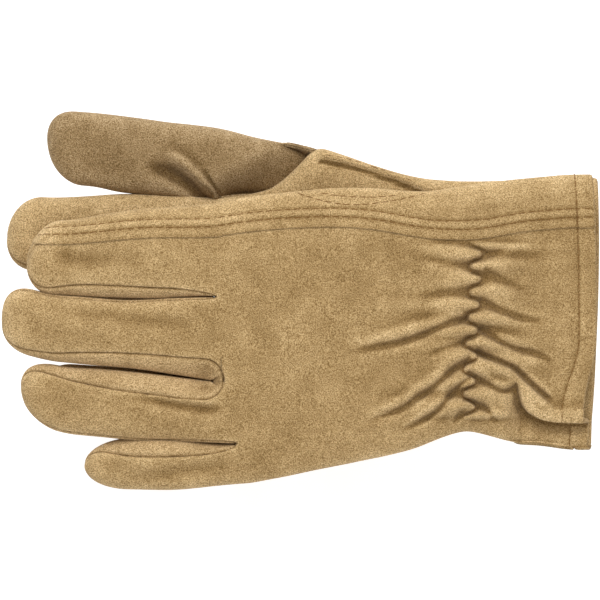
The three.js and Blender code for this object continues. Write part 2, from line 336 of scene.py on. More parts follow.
LEFT_CREASES = [
    # From the gathers towards the fingers.
    Crease([(-4.6, -5.8), (-6, -8), (-11, -9.8), (-18, -12), (-34.4, -18), (-60, -22.6)],
           2.3, 1.5, 1.3, 3.2, -1, (0.03, 0.5)),
    Crease([(-6, -18.4), (-15, -20.6), (-27, -25)], 1.0, 1.4, 0.4, 2.6, -1, (0.05, 0.6)),
    Crease([(-2, -23.5), (-11, -29.3), (-18, -35.5), (-26, -41.3), (-35, -47), (-52, -54)],
           2.3, 1.6, 1.3, 3.0, -1, (0.03, 0.4)),
    Crease([(-3.5, -33.5), (-9, -36.5), (-13, -41), (-18, -47), (-26, -52.3), (-36, -57)],
           2.2, 1.4, 1.0, 2.6, -1, (0.03, 0.4)),
    Crease([(-3, -45.5), (-8.5, -48.5), (-12, -54)], 1.3, 1.4, 0.6, 2.2, -1, (0.05, 0.4)),
    Crease([(-4, 15), (-14, 16.3), (-34, 20)], 0.9, 2.0, 0.3, 3.2, -1, (0.1, 0.6)),
    Crease([(-5, 3.1), (-16, 3.0), (-30, 0)], 0.6, 2.0, 0.2, 3, 1, (0.1, 0.7)),
    # From the gathers towards the cuff.
    Crease([(2, 19.5), (8, 21.5), (15, 23.5)], 0.9, 1.6, 0.3, 2.5, -1, (0.1, 0.5)),
    Crease([(1, 14), (8.6, 8.6), (15, 6), (24, 3)], 1.0, 2.0, 0.4, 3.4, -1, (0.05, 0.6)),
    Crease([(-1, 1), (4.3, -2.6), (10.8, -5.6), (19.4, -8.2), (32, -9.8)],
           1.9, 1.7, 0.7, 3.6, -1, (0.05, 0.55)),
    Crease([(-1.5, -11), (4.3, -15.5), (10.8, -18.9), (17.2, -21.5), (23.7, -23.2), (30, -25.8),
            (35.3, -31)],
           2.3, 1.5, 1.1, 3.0, -1, (0.05, 0.5)),
    Crease([(-2.5, -21), (2.2, -24.1), (8.6, -26.7), (13.8, -28.8), (18.1, -32.3), (21.5, -35.7),
            (25.8, -39.1), (32.3, -42.6), (38, -43.5)],
           3.3, 1.35, 1.7, 2.6, -1, (0.03, 0.22)),
    Crease([(-6, -30), (-2.2, -32.7), (2.2, -35.7), (7.3, -38.3), (10.8, -39.1), (15, -37.8), (17, -34.5)],
           1.9, 1.3, 0.7, 2.2, 1, (0.05, 0.15)),
    Crease([(-7.3, -41.7), (-3, -43.9), (1.3, -46), (5.2, -49.9), (8, -54)],
           1.7, 1.3, 0.7, 2.4, 1, (0.05, 0.3)),
    # Long dents along the fingers.
    Crease([(-186, -3.6), (-165, -6), (-145, -8.5), (-119, -11.5)], 1.5, 4.2, 0.0, 3, 1, (0.25, 0.3)),
    Crease([(-160, -40.2), (-145, -42), (-130, -45.2), (-116, -46.6), (-109, -44)],
           1.9, 2.4, 0.6, 3.0, 1, (0.5, 0.2)),
    Crease([(-158, -76.5), (-140, -75.5), (-120, -72.5), (-104, -69.5)], 1.5, 4.0, 0.3, 3.5, 1, (0.3, 0.3)),
    Crease([(-186, 21.5), (-176, 18.5), (-160, 17), (-140, 18)], 0.9, 4.0, 0.0, 3, 1, (0.2, 0.6)),
    Crease([(-100, 26), (-96, 8), (-95, -12), (-90, -32)], 0.6, 7.0, 0.0, 3, 1, (0.3, 0.3)),
]

# The pleat at the cuff: beyond this line the back drops to a lower level, and the leather rolls over it.
PLEAT = Path([(16.0, -31.5), (16.6, -37), (18.2, -43), (21.5, -47.3), (27.5, -50), (35.7, -51.1),
              (45.2, -51.6), (55, -51.8)])
PLEAT_DROP = 6.5
PLEAT_REACH = 13.0


def pleat(x, y):
    """How the pleat moves the leather. The cuff above it is pulled back towards the fingers."""
    moved = np.zeros((*x.shape, 3))
    near = (x > 8) & (y < -14)
    if near.any():
        x, y = x[near], y[near]
        distance, share = PLEAT.measure(x, y)
        below, strength = -distance, ease(share / 0.3) * ease((x - 9) / 10)
        under = ease((below + 0.4) / 1.4)
        roll = 1.7 * bell(below + 3.0, 2.6)
        pulled = (4.2 + 2.6 * bell(x - 41, 5)) * ease((-17 - y) / 30) * ease((x - 22) / 18)
        moved[near, 0] = -pulled * mix(1.0, 0.35, under)
        moved[near, 1] = -strength * 2.4 * bell(below + 1.2, 1.8)
        moved[near, 2] = strength * (roll - PLEAT_DROP * under * mix(1.0, 0.35, ease(below / PLEAT_REACH)))
    return moved


# On the right glove the thumb's raw edge is lapped over the palm, beside a fold at the thumb's root.
RAW_EDGE = Path([(-70.5, 62.3), (-64.3, 60.6), (-57.8, 59.6), (-44.8, 55.7), (-33.9, 51.8), (-24.3, 47.5),
                 (-14, 43)])
ROOT_FOLD = Path([(-68, 72), (-71.3, 66.2), (-76.1, 60.9), (-81.8, 54), (-88.3, 49.2), (-93.5, 45.7),
                  (-104, 40)])
THUMB_CREASES = [
    Crease([(-148, 60), (-136.2, 56), (-129.6, 52.4), (-123.2, 48), (-117, 42)],
           4.6, 3.8, 0.0, 4, 1, (0.5, 0.02)),
    Crease([(-138, 66), (-127.5, 58.8), (-120.9, 52.2), (-115.2, 46.5), (-112, 41)],
           -2.6, 2.6, 0.0, 4, 1, (0.4, 0.02)),
    Crease([(-121, 57.5), (-117.5, 53), (-113.5, 47), (-111.4, 42)], 1.8, 1.2, 0.0, 3, 1, (0.4, 0.05)),
    Crease([(-176, 62), (-160, 57), (-146, 59)], 0.6, 5, 0.0, 3, 1, (0.3, 0.3)),
]


def lifted(height):
    """A displacement straight up."""
    return np.stack([0 * height, 0 * height, height], -1)


def left_back_relief(x, y):
    """What the gathers, the pleat and the creases do to the left glove's back."""
    creases = sum(crease.height(x, y) for crease in LEFT_CREASES)
    return pleat(x, y) + lifted(gathers(x, y, 24.0, -50.5) + creases)


def right_palm_relief(x, y):
    above, share = RAW_EDGE.measure(x, y)
    strength = ease(share / 0.05) * ease((1 - share) / 0.1)
    lap = 1.4 * ease((above + 0.2) / 1.0) * (1 - ease((above - 3) / 7)) - 1.3 * bell(above + 1.0, 0.9)
    return lifted(strength * lap)


def right_thumb_relief(x, y):
    """Besides its creases, the thumb dips under the palm's edge at its root."""
    beyond = -ROOT_FOLD.measure(x, y)[0]
    dip = -10.0 * (1 - ease((beyond + 3) / 22))
    return lifted(dip + sum(crease.height(x, y) for crease in THUMB_CREASES))


def no_relief(x, y):
    return np.zeros((*x.shape, 3))


def press(points, normals, relief, rests=False):
    """Presses a relief into leather that faces up, and a slight unevenness everywhere."""
    uneven = 0.6 * ripple(points[..., 0], points[..., 1] + 0.8 * points[..., 2])
    faces_up = ease((normals[..., 2] - 0.1) / 0.6)
    moved = relief(points[..., 0], points[..., 1])
    pressed = points + normals * uneven[..., None] + moved * faces_up[..., None]
    if rests:
        z = pressed[..., 2]
        flat = FLAT_LEVEL * np.exp(np.minimum(z - FLAT_LEVEL, 0) / FLAT_LEVEL)
        pressed[..., 2] = np.where(z < FLAT_LEVEL, flat, z)
    return pressed


# ---------------------------------------------------------------- the glove's two kinds of surface
# Width of the wrapped strip on the back, by the distance from the cuff.
LAP_WIDTH = [(0, 22.4), (29, 22.4), (48, 24.2), (68, 20.2), (90, 17.6), (121, 15.8), (140, 14.8), (170, 13.4),
             (212, 11.8), (245, 9.0)]
LAP_ROWS = (4.1, 7.9)       # of its two stitch rows, from the raw edge
HEM = 6.6                   # of the hem's stitch row, from the cuff's edge
# How far the leather stands out beyond the model's plain outline, by the place along the glove, on its thumb
# side and its little-finger side.
SPREAD = {
    "left": ([(-120, 0), (-15, 0), (0, 0.5), (15, 0.5), (28, 0), (50, 0)],
             [(-90, 0.2), (-60, 1.2), (-49.5, 2.2), (-38.7, 3.9), (-28, 4.8), (-17, 2.6), (-6.5, 0.9),
              (4.3, 1.7), (15, 2.1), (27, 0.3), (50, 0)]),
    "right": ([(-110, 0), (-97, -0.5), (-89, -0.9), (-81, -1.3), (-76, 1.8), (-70, 4.9), (-61.6, 2.4),
               (-46, 1.5), (-30, 1.0), (-14, 1.5), (8, 1.7), (20, 0.8), (30, 0), (50, 0)],
              [(-110, 0), (20, 0), (50, 0.6)]),
}
CUFF_REACH = {"left": (-0.9, 0.2), "right": (1.0, 0.0)}   # beyond the model's cuff, at the same two ends


class Hand:
    """The hand from cuff (v = 0) to knuckles (v = 1)."""

    def __init__(self, side):
        self.side, self.up = side, 1 if side == "left" else -1
        solid = body_solid(f"{side}_hand")
        stalls = [body_solid(f"{side}_{finger}") for finger in FINGERS]
        self.knuckles = knuckle_points(stalls)
        cuff = solid.points[solid.points[:, 0] > solid.points[:, 0].max() - 4]
        self.cuff = [cuff[cuff[:, 1].argmax()], cuff[cuff[:, 1].argmin()]]
        for corner, reach in zip(self.cuff, CUFF_REACH[side]):
            corner[0] += reach
        back = np.array([-1.0, 0, 0])
        self.x = np.linspace(self.knuckles[0][0] + 0.5, solid.points[:, 0].max() - 3, 120)
        cuts = [solid.cut(np.zeros(3), back, -x) for x in self.x]
        spread = [along_table(table, self.x) for table in SPREAD[side]]
        self.thumb_y = self.outline([c[:, 1].max() for c in cuts], self.knuckles[0]) + spread[0]
        self.little_y = self.outline([c[:, 1].min() for c in cuts], self.knuckles[-1]) - spread[1]
        middle = np.array([(c[:, 2].max() + c[:, 2].min()) / 2 for c in cuts])
        tall = np.array([(c[:, 2].max() - c[:, 2].min()) / 2 for c in cuts])
        whole = self.x > self.knuckles[-1][0] + 3
        self.middle_z = soften(np.interp(self.x, self.x[whole], middle[whole]), 3)
        self.tall = soften(np.interp(self.x, self.x[whole], tall[whole]), 3)
        ends = np.array([self.knuckles[0], self.knuckles[-1]])
        self.bow_share = [(2 * k[1] - ends[:, 1].sum()) / (ends[0, 1] - ends[1, 1]) for k in self.knuckles]
        straight = [mix(ends[1, 0], ends[0, 0], (s + 1) / 2) for s in self.bow_share]
        self.bow = [k[0] - x for k, x in zip(self.knuckles, straight)]
        self.length = self.cuff[0][0] - self.knuckles[0][0]

    def outline(self, values, knuckle):
        """One side of the outline, brought to the end of the knuckle line, where the cuts are not whole."""
        whole = self.x > knuckle[0] + 6
        x, y = [knuckle[0], *self.x[whole]], [knuckle[1], *np.array(values)[whole]]
        return soften(np.interp(self.x, x, y), 3)

    def edges(self, v):
        """The outline's points on the thumb side and the little-finger side."""
        thumb_x = mix(self.cuff[0][0], self.knuckles[0][0], v)
        little_x = mix(self.cuff[1][0], self.knuckles[-1][0], v)
        thumb = np.stack([thumb_x, np.interp(thumb_x, self.x, self.thumb_y)], -1)
        little = np.stack([little_x, np.interp(little_x, self.x, self.little_y)], -1)
        return thumb, little

    def bare(self, angle, v):
        """A place on the hand with nothing pressed into it."""
        angle, v = np.broadcast_arrays(np.asarray(angle, float), np.asarray(v, float))
        across, height = section(angle)
        thumb, little = self.edges(v)
        centre, half = (thumb + little) / 2, (thumb - little) / 2
        plan = centre + half * across[..., None]
        bow = np.interp(across, self.bow_share[::-1], self.bow[::-1])
        x = plan[..., 0] + bow * ease(v)
        cuff_bow = 1.5 * (1 - across**2) * ease(1 - v * 4)
        middle = np.interp(centre[..., 0], self.x, self.middle_z)
        tall = np.interp(centre[..., 0], self.x, self.tall)
        z = middle + self.up * height * tall
        return np.stack([x + cuff_bow, plan[..., 1], z], -1)

    def lap_angle(self, v, from_edge=0.0):
        """Angle of a line that keeps a distance from the wrap's raw edge, towards the thumb side."""
        thumb, little = self.edges(v)
        width = along_table(LAP_WIDTH, self.cuff[0][0] - thumb[..., 0]) - from_edge
        half = (thumb - little)[..., 1] / 2
        return angle_at(1 - width / half)

    def dressed(self, angle, v, wrap):
        """A place on the hand with its hem and its lapped edge.

        wrap says whether it is the wrapped palm leather.
        """
        angle, v = np.broadcast_arrays(np.asarray(angle, float), np.asarray(v, float))
        points = self.bare(angle, v)
        across, height = section(angle)
        thumb, little = self.edges(v)
        from_thumb = (thumb - little)[..., 1] / 2 * (1 - across)
        width = along_table(LAP_WIDTH, self.cuff[0][0] - thumb[..., 0])
        on_back = height > 0
        points[..., 2] += self.up * np.where(on_back, lap_height(from_thumb, width, wrap), 0)
        from_cuff = self.length * v
        turned = 0.4 * ease((HEM + 1.5 - from_cuff) / 2.5) - 0.4 * bell(from_cuff - HEM, 0.6)
        points[..., 2] += self.up * turned * np.sign(height) * ease(np.abs(height) * 2)
        return points


def lap_height(from_thumb, width, wrap):
    """How far the wrapped strip stands above the back, or the back sinks under it, with the rows' furrows."""
    from_edge = width - from_thumb
    furrows = sum(0.35 * bell(from_edge - row, 0.6) for row in LAP_ROWS)
    if not wrap:
        return -furrows - 0.9 * ease((from_edge - 1) / 4)
    puff = 0.15 * bell(from_edge - sum(LAP_ROWS) / 2, 1.3) + 0.15 * bell(from_edge - 1.8, 1.1)
    return LAP_LIFT * ease(from_thumb / 7) - (furrows - puff) * ease(from_thumb / 2)


def knuckle_points(stalls):
    """The two ends of the knuckle line and the crotches between the fingers."""
    corners = []
    for stall in stalls:
        base = stall.points[stall.points[:, 0] > stall.points[:, 0].max() - 6]
        near, far = base[base[:, 1].argmax()].copy(), base[base[:, 1].argmin()].copy()
        near[1] += CLEARANCE
        far[1] -= CLEARANCE
        corners.append((near, far))
    spots = [corners[0][0]] + [(a[1] + b[0]) / 2 for a, b in zip(corners, corners[1:])] + [corners[-1][1]]
    return [spot + np.array([KNUCKLE_GAP, 0, 0]) for spot in spots]


# How far each seam on the back lies in from the line where neighbouring fingers touch: the radius of its turn
# round the crotch, then (distance from the crotch, offset) pairs. First the thumb side, then the other.
BACK_SEAMS = {
    "index": (None, (2.0, [(0, 0.6), (10, 2.9), (19, 4.4), (37, 5.2), (56, 5.0), (72, 2.4), (80, 0.6)])),
    "middle": ((1.5, [(0, 0.6), (10, 0.8), (80, 0.8), (94, 0.4)]),
               (8.3, [(0, 8.9), (9, 8.8), (21, 7.6), (40, 6.2), (58, 5.0), (80, 2.6), (94, 0.8)])),
    "ring": ((8.3, [(0, 7.6), (9, 8.0), (18, 9.0), (40, 8.9), (58, 7.3), (78, 4.2), (91, 1.0)]),
             (1.5, [(0, 0.6), (10, 0.8), (80, 0.8), (91, 0.4)])),
    "little": ((2.0, [(0, 1.2), (9, 4.1), (22, 6.6), (34, 7.7), (50, 7.4), (60, 5.0), (69, 1.0)]), None),
}
PLAIN_SEAM = (3.0, [(0, 3.2), (30, 3.6), (60, 3.2), (95, 1.2)])
# Tip: length of the rounded part, its power in plan, its lean (shorter towards the thumb), its bend that way,
# and how far it reaches beyond the model's.
TIPS = {
    "left": {"index": (14, 2.0, 0.16, 0, 0.3), "middle": (14, 2.5, -0.02, 3.5, 1.0),
             "ring": (17, 2.2, -0.2, 2.2, 0), "little": (19, 2.0, 0.06, 0, 0), "thumb": (14, 2.2, 0.0, 0, 0)},
    "right": {"index": (14, 2.1, 0.08, 0, 2.0), "middle": (15, 2.2, 0, 0, 0), "ring": (15, 2.2, 0, 0, 0),
              "little": (15, 2.1, 0, 0, 0), "thumb": (14, 2.2, -0.22, 0, 1.2)},
}
# How far the right thumb's sleeve stands out beyond the model's, by the distance from its root.
THUMB_SPREAD = ([(-9, 6.5), (2, 3.3), (24, 1.2), (60, 0.8), (70, 1.3), (110, 1.3)],
                [(-9, 3.0), (20, 3.0), (41, 1.0), (60, 0.2), (81, 0.8), (92, 0.0), (110, 0.0)])


class Stall:
    """A finger stall, in the frame of its base's middle, the way it points and the way to its thumb side."""

    def __init__(self, hand, name):
        self.hand, self.name, self.side, self.up = hand, name, hand.side, hand.up
        number = FINGERS.index(name)
        self.near, self.far = hand.knuckles[number], hand.knuckles[number + 1]
        self.origin = ((self.near + self.far) / 2) * np.array([1, 1, 0])
        axis = joint_of(f"{self.side}_{name}")["axis"]
        self.ahead = unit(np.array([-axis[1], axis[0], 0.0]) * self.up)
        self.across = np.array([self.ahead[1], -self.ahead[0], 0.0])
        solid = body_solid(f"{self.side}_{name}")
        self.round, self.tip_power, self.lean, self.bend, longer = TIPS[self.side][name]
        self.length = ((solid.points - self.origin) @ self.ahead).max() + 0.4 + longer
        self.measure(solid)

    def measure(self, solid):
        stations = np.linspace(0.12, 0.8, 8) * self.length
        cuts = [solid.cut(self.origin, self.ahead, s) for s in stations]
        reach = [(c - self.origin) @ self.across for c in cuts]
        spare = CLEARANCE - TOUCH_GAP
        near0 = (self.near - self.origin) @ self.across
        far0 = (self.far - self.origin) @ self.across
        self.stations = np.concatenate([[0], stations, [self.length]])
        last = (reach[-1].max() + spare, reach[-1].min() - spare)
        self.near_line = np.array([near0] + [r.max() + spare for r in reach] + [last[0]])
        self.far_line = np.array([far0] + [r.min() - spare for r in reach] + [last[1]])
        tops, lows = [c[:, 2].max() for c in cuts], [c[:, 2].min() for c in cuts]
        middles = [(a + b) / 2 for a, b in zip(tops, lows)]
        base = self.hand.bare(270.0, 1.0)[2], self.hand.bare(90.0, 1.0)[2]
        self.middle_z = np.array([(base[0] + base[1]) / 2] + middles + [middles[-1]])
        self.tall = np.array([abs(base[0] - base[1]) / 2] + [(a - b) / 2 for a, b in zip(tops, lows)]
                             + [(tops[-1] - lows[-1]) / 2])

    def frame_at(self, w):
        """(middle across, half-width, middle height, half-height) at a distance from the base."""
        fine = np.linspace(0, self.length, 90)
        lines = [soften(np.interp(fine, self.stations, line), 5)
                 for line in (self.near_line, self.far_line, self.middle_z, self.tall)]
        near, far, z, tall = (np.interp(w, fine, line) for line in lines)
        bend = self.bend * ease((w - 0.72 * self.length) / (0.28 * self.length))
        return (near + far) / 2 + bend, (near - far) / 2, z, tall

    def rounding(self, w):
        """What is left of the width and the height near the tip."""
        into = np.clip((w - self.length + self.round) / self.round, 0, 1)
        wide = (1 - into**self.tip_power) ** (1 / self.tip_power)
        high = (1 - into**2.6) ** (1 / 2.2)
        return wide, high

    def seam(self, face, which, w):
        """How far a seam lies in from the touch line at a distance from the base."""
        plain = face == "palm" or self.side == "right"
        radius, offsets = PLAIN_SEAM if plain else BACK_SEAMS[self.name][which]
        turn = np.sqrt(np.clip(1 - (1 - np.clip(w / radius, 0, 1)) ** 2, 0, 1))
        return np.maximum(along_table([*offsets, (200, 0.5)], w) * turn, 0.04)

    def seam_angle(self, face, which, w):
        middle, half, _, _ = self.frame_at(w)
        wide, _ = self.rounding(w)
        across = 1 - self.seam(face, which, w) / half
        across = mix(across, np.maximum(across, 0.93), 1 - wide)
        angle = angle_at(np.clip(across, 0.02, 1))
        if which == 1:
            angle = 180 - angle
        return 360 - angle if face == "palm" else angle

    def lap_angle(self, w, from_edge=0.0):
        """Angle of a line that keeps a distance from the wrap's raw edge, and runs straight off the tip."""
        middle, half, _, _ = self.frame_at(w)
        wide, _ = self.rounding(w)
        from_cuff = self.hand.cuff[0][0] - self.near[0] + w
        width = np.maximum(along_table(LAP_WIDTH, from_cuff) - from_edge, 0.6)
        return angle_at(np.clip((1 - width / half) / wide, -0.9, 0.99))

    def seam_line(self, face, which, w):
        """How far across the stall a seam lies, or its plain side where it has none."""
        middle, half, _, _ = self.frame_at(w)
        side = 1 if which == 0 else -1
        plain = (self.name == "index" and which == 0) or (self.name == "little" and which == 1)
        return middle + side * (half if plain else half - self.seam(face, which, w))

    def bare(self, start, angle, kept, w, closing=12.0):
        """A place on the stall. It leaves the hand at start, keeps to kept at first, and settles at angle."""
        start = start - self.origin
        middle, half, z_middle, tall = self.frame_at(w)
        base = self.frame_at(np.zeros(1))
        wide, high = self.rounding(w)
        across, height = section(angle)
        finger_across = middle + half * wide * across
        plan_across = mix(kept, finger_across, ease(w / closing))
        hand_height = (start[..., 2] - base[2]) / base[3]
        z = z_middle + tall * mix(hand_height, self.up * height * high, ease(w / 30.0))
        start_along = start @ self.ahead
        along = w + start_along * (1 - ease(w / (0.7 * self.length)))
        into = ease((w - 0.55 * self.length) / (0.45 * self.length))
        along = along - self.lean * (plan_across - middle) * into
        plan = self.origin + along[..., None] * self.ahead + plan_across[..., None] * self.across
        plan[..., 2] = z
        return plan

    def lane(self, face, start, first, last, w, wrap=None):
        """A panel of the stall between two angles (one for each w), going on from the hand's row start."""
        share = columns_of(start)
        angle = FINGER_RING.between(first[:, None], last[:, None], share[None, :])
        base_middle, base_half, _, _ = self.frame_at(np.zeros(1))
        place = ((start - self.origin) @ self.across - base_middle) / base_half
        low, high = self.seam_line(face, 1, w)[:, None], self.seam_line(face, 0, w)[:, None]
        share_across, power = (place[None, :] + 1) / 2, 3 if self.name == "index" else 1
        end = self.frame_at(w)
        plain_low, plain_high = (end[0] - end[1])[:, None], (end[0] + end[1])[:, None]
        kept = mix(plain_low, plain_high, share_across)
        kept += (low - plain_low) * (1 - share_across) ** power + (high - plain_high) * share_across**power
        points = self.bare(start[None], angle, kept, w[:, None])
        if wrap is not None:
            middle, half, _, _ = self.frame_at(w[:, None])
            wide, _ = self.rounding(w[:, None])
            across = (points - self.origin) @ self.across
            from_thumb = np.maximum(middle + half * wide - across, 0)
            width = along_table(LAP_WIDTH, self.hand.cuff[0][0] - self.near[0] + w)[:, None]
            on_back = section(angle)[1] > 0
            lift = lap_height(from_thumb, width, wrap)
            points[..., 2] += self.up * np.where(on_back, lift, 0) * ease(wide * 2)
        return points

    def wall(self, which, back_crotch, palm_crotch, web, ahead, w):
        """A side wall, from the seam on the back to the seam on the palm, that slopes ahead at the crotch."""
        count = max(8, round(abs(back_crotch[2] - palm_crotch[2]) / GRID))
        share = np.linspace(0, 1, count + 1)
        first, last = self.seam_angle("back", which, w), self.seam_angle("palm", which, w)
        if which == 0:
            last = last - 360
        angle = FINGER_RING.between(first[:, None], last[:, None], share[None, :])
        start = mix(back_crotch, palm_crotch, share[:, None])
        kept = mix(self.seam_line("back", which, w)[:, None], self.seam_line("palm", which, w)[:, None],
                   share[None, :])
        points = self.bare(start[None], angle, kept, w[:, None], 0.8)
        slope = web * np.sin(np.pi * share)[None, :] * (1 - ease(w / (2.5 * web + 2)))[:, None]
        return points + slope[..., None] * ahead

    def rows(self, spacing):
        """Distances of the rows of points from the base, closer together round the tip."""
        straight = self.length - self.round
        turn = np.linspace(0, 1, max(10, round(1.5 * self.round / spacing))) * np.pi / 2
        tip = straight + self.round * np.sin(turn) * (1 - 1e-4)
        crotch = 9.0 * np.linspace(0, 1, 14) ** 2
        between = np.linspace(9.0, straight, round((straight - 9) / spacing))[1:-1]
        return np.concatenate([crotch, between, tip])


def columns_of(start):
    """Shares across a row of points, by the distance walked along it."""
    run = walked(start)
    return run / run[-1]


THUMB_RISE = 9.0            # of the left thumb's root, up to the palm it is sewn to


class Thumb:
    """A thumb stall: a flattened sleeve that starts inside its glove, with a seam down each side."""

    def __init__(self, side, sunk, squeeze):
        self.side, self.up, self.sunk, self.squeeze = side, 1 if side == "left" else -1, sunk, squeeze
        solid = body_solid(f"{side}_thumb")
        pivot = np.array(joint_of(f"{side}_thumb")["pos_m"]) * MM
        away = np.linalg.norm(solid.points - pivot, axis=1)
        tip = solid.points[away > np.quantile(away, 0.97)].mean(0)
        self.ahead = unit((tip - pivot) * np.array([1, 1, 0]))
        self.across = np.array([self.ahead[1], -self.ahead[0], 0.0])
        self.origin = pivot * np.array([1, 1, 0])
        self.round, self.tip_power, self.lean, _, longer = TIPS[side]["thumb"]
        self.length = ((solid.points - self.origin) @ self.ahead).max() + longer
        stations = np.linspace(0.2, 0.82, 10) * self.length
        cuts = [solid.cut(self.origin, self.ahead, s) for s in stations]
        reach = [(c - self.origin) @ self.across for c in cuts]
        tops, lows = [c[:, 2].max() for c in cuts], [c[:, 2].min() for c in cuts]
        near, far = [r.max() for r in reach], [r.min() for r in reach]
        base = solid.cut(self.origin, self.ahead, 2.0) - self.origin
        self.stations = [-sunk, 2.0, *stations]
        self.tables = ([base.dot(self.across).max() - 0.7 * sunk, base.dot(self.across).max(), *near],
                       [far[0], far[0], *far],
                       [(a + b) / 2 for a, b in zip([tops[0]] * 2 + tops, [lows[0]] * 2 + lows)],
                       [(a - b) / 2 for a, b in zip([tops[0]] * 2 + tops, [lows[0]] * 2 + lows)])

    def frame_at(self, w):
        fine = np.linspace(-self.sunk, self.length, 120)
        lines = [soften(np.interp(fine, self.stations, table), 6) for table in self.tables]
        near, far, z, tall = (np.interp(w, fine, line) for line in lines)
        if self.side == "right":
            near, far = near + along_table(THUMB_SPREAD[0], w), far - along_table(THUMB_SPREAD[1], w)
        tall = tall * mix(self.squeeze, 1, ease((w + self.sunk) / (self.sunk + 18)))
        if self.side == "left":
            z = z + THUMB_RISE * (1 - ease((w + self.sunk) / (self.sunk + 16)))
        return (near + far) / 2, (near - far) / 2, z, tall

    def rounding(self, w):
        into = np.clip((w - self.length + self.round) / self.round, 0, 1)
        return (1 - into**self.tip_power) ** (1 / self.tip_power), (1 - into**2.6) ** (1 / 2.2)

    def half(self, first, last, spacing):
        """The grid between two angles."""
        straight = self.length - self.round
        turn = np.linspace(0, 1, max(10, round(1.5 * self.round / spacing))) * np.pi / 2
        tip = straight + self.round * np.sin(turn) * (1 - 1e-4)
        sleeve = np.linspace(-self.sunk, straight, round((straight + self.sunk) / spacing))[:-1]
        w = np.concatenate([sleeve, tip])
        middle, half, z, tall = (value[:, None] for value in self.frame_at(w))
        wide, high = (value[:, None] for value in self.rounding(w))
        share = columns(2.2 * float(half.max()), spacing)
        across, height = section(THUMB_RING.between(first, last, share)[None, :])
        place = middle + half * wide * across
        into = ease((w - 0.55 * self.length) / (0.45 * self.length))[:, None]
        along = w[:, None] - self.lean * (place - middle) * into
        points = self.origin + along[..., None] * self.ahead + place[..., None] * self.across
        points[..., 2] = z + tall * high * height
        return points


# ---------------------------------------------------------------- from grids to leather
SEAM_ROUND = 1.3            # how far from a seam the leather starts to roll in
SEAM_DEPTH = 1.0
SEAM_SHADE_HALF_WIDTH = 0.36            # half the width of the painted line of shade it leaves along a seam


def grid_normals(points, turn):
    """Outward normals; turn is 1 where the columns go round from the thumb side over the back."""
    along, across = np.gradient(points, axis=0), np.gradient(points, axis=1)
    normals = unit(np.cross(along, across)) * turn
    flat = np.linalg.norm(normals[-1], axis=-1, keepdims=True) < 0.5
    normals[-1] = np.where(flat, normals[-2], normals[-1])
    return normals


def sheet_normals(sheet, turn):
    """Normals of a sheet that is one grid over the hand and goes on as one grid for each finger."""
    normals, lanes = grid_normals(sheet.hand, turn), []
    for (a, b), lane in zip(sheet.spans, sheet.lanes):
        whole = grid_normals(np.vstack([sheet.hand[:, a:b], lane[1:]]), turn)
        normals[-1, a:b] = whole[len(sheet.hand) - 1]
        lanes.append(whole[len(sheet.hand) - 1:])
    for (a, b), lane in zip(sheet.spans, lanes):
        lane[0] = normals[-1, a:b]
    return Sheet(normals, lanes, sheet.spans)


class Sheet:
    """Values over one face of a glove: hand, a grid over the hand, and lanes, one grid for each finger."""

    def __init__(self, hand, lanes, spans):
        self.hand, self.lanes, self.spans = hand, lanes, spans

    def each(self, change, *others):
        """The sheet with every grid changed, along with the matching grids of other sheets."""
        lanes = [change(*parts) for parts in zip(self.lanes, *(o.lanes for o in others))]
        return Sheet(change(self.hand, *(o.hand for o in others)), lanes, self.spans)


def groove(points, seams):
    """Rolls the leather in along seams, each (points, ways out). Returns the points and a mask of painted shade
    along the seams.
    """
    shade_line = np.zeros(points.shape[:-1])
    moved = points.copy()
    for line, ways in seams:
        reach = SEAM_ROUND + 0.4
        low, high = line.min(0) - reach, line.max(0) + reach
        near = ((points > low) & (points < high)).all(-1)
        spots = points[near]
        best = np.full(len(spots), 1e9)
        way = np.zeros((len(spots), 3))
        for a, b, m, n in zip(line, line[1:], ways, ways[1:]):
            d = b - a
            t = np.clip((spots - a) @ d / max(d @ d, 1e-9), 0, 1)
            distance = np.linalg.norm(spots - a - t[:, None] * d, axis=1)
            closer = distance < best
            best = np.where(closer, distance, best)
            way = np.where(closer[:, None], m + (n - m) * t[:, None], way)
        rolled = 1 - np.sqrt(1 - np.clip(1 - best / SEAM_ROUND, 0, 1) ** 2)
        moved[near] -= SEAM_DEPTH * rolled[:, None] * way
        shade_line[near] = np.maximum(shade_line[near], bell(best, SEAM_SHADE_HALF_WIDTH))
    return moved, shade_line


def tuck(points, first=None, last=None):
    """Rolls the leather in at its two seams. first and last are the ways out, one vector for each row."""
    run = walked(points)
    for distance, way in ((run, first), (run[:, -1:] - run, last)):
        if way is not None:
            rolled = 1 - np.sqrt(1 - np.clip(1 - distance / SEAM_ROUND, 0, 1) ** 2)
            points = points - SEAM_DEPTH * rolled[..., None] * way[:, None]
    return points


def rim_points(outer, inner, way, count):
    """Points that round off a cut edge between its outer and inner side. way points out of the edge."""
    turn = np.linspace(0, np.pi, count + 2)[1:-1, None, None]
    middle, half = (outer + inner) / 2, (outer - inner) / 2
    bulge = np.linalg.norm(half, axis=-1, keepdims=True) * way
    return middle + half * np.cos(turn) + bulge * np.sin(turn)


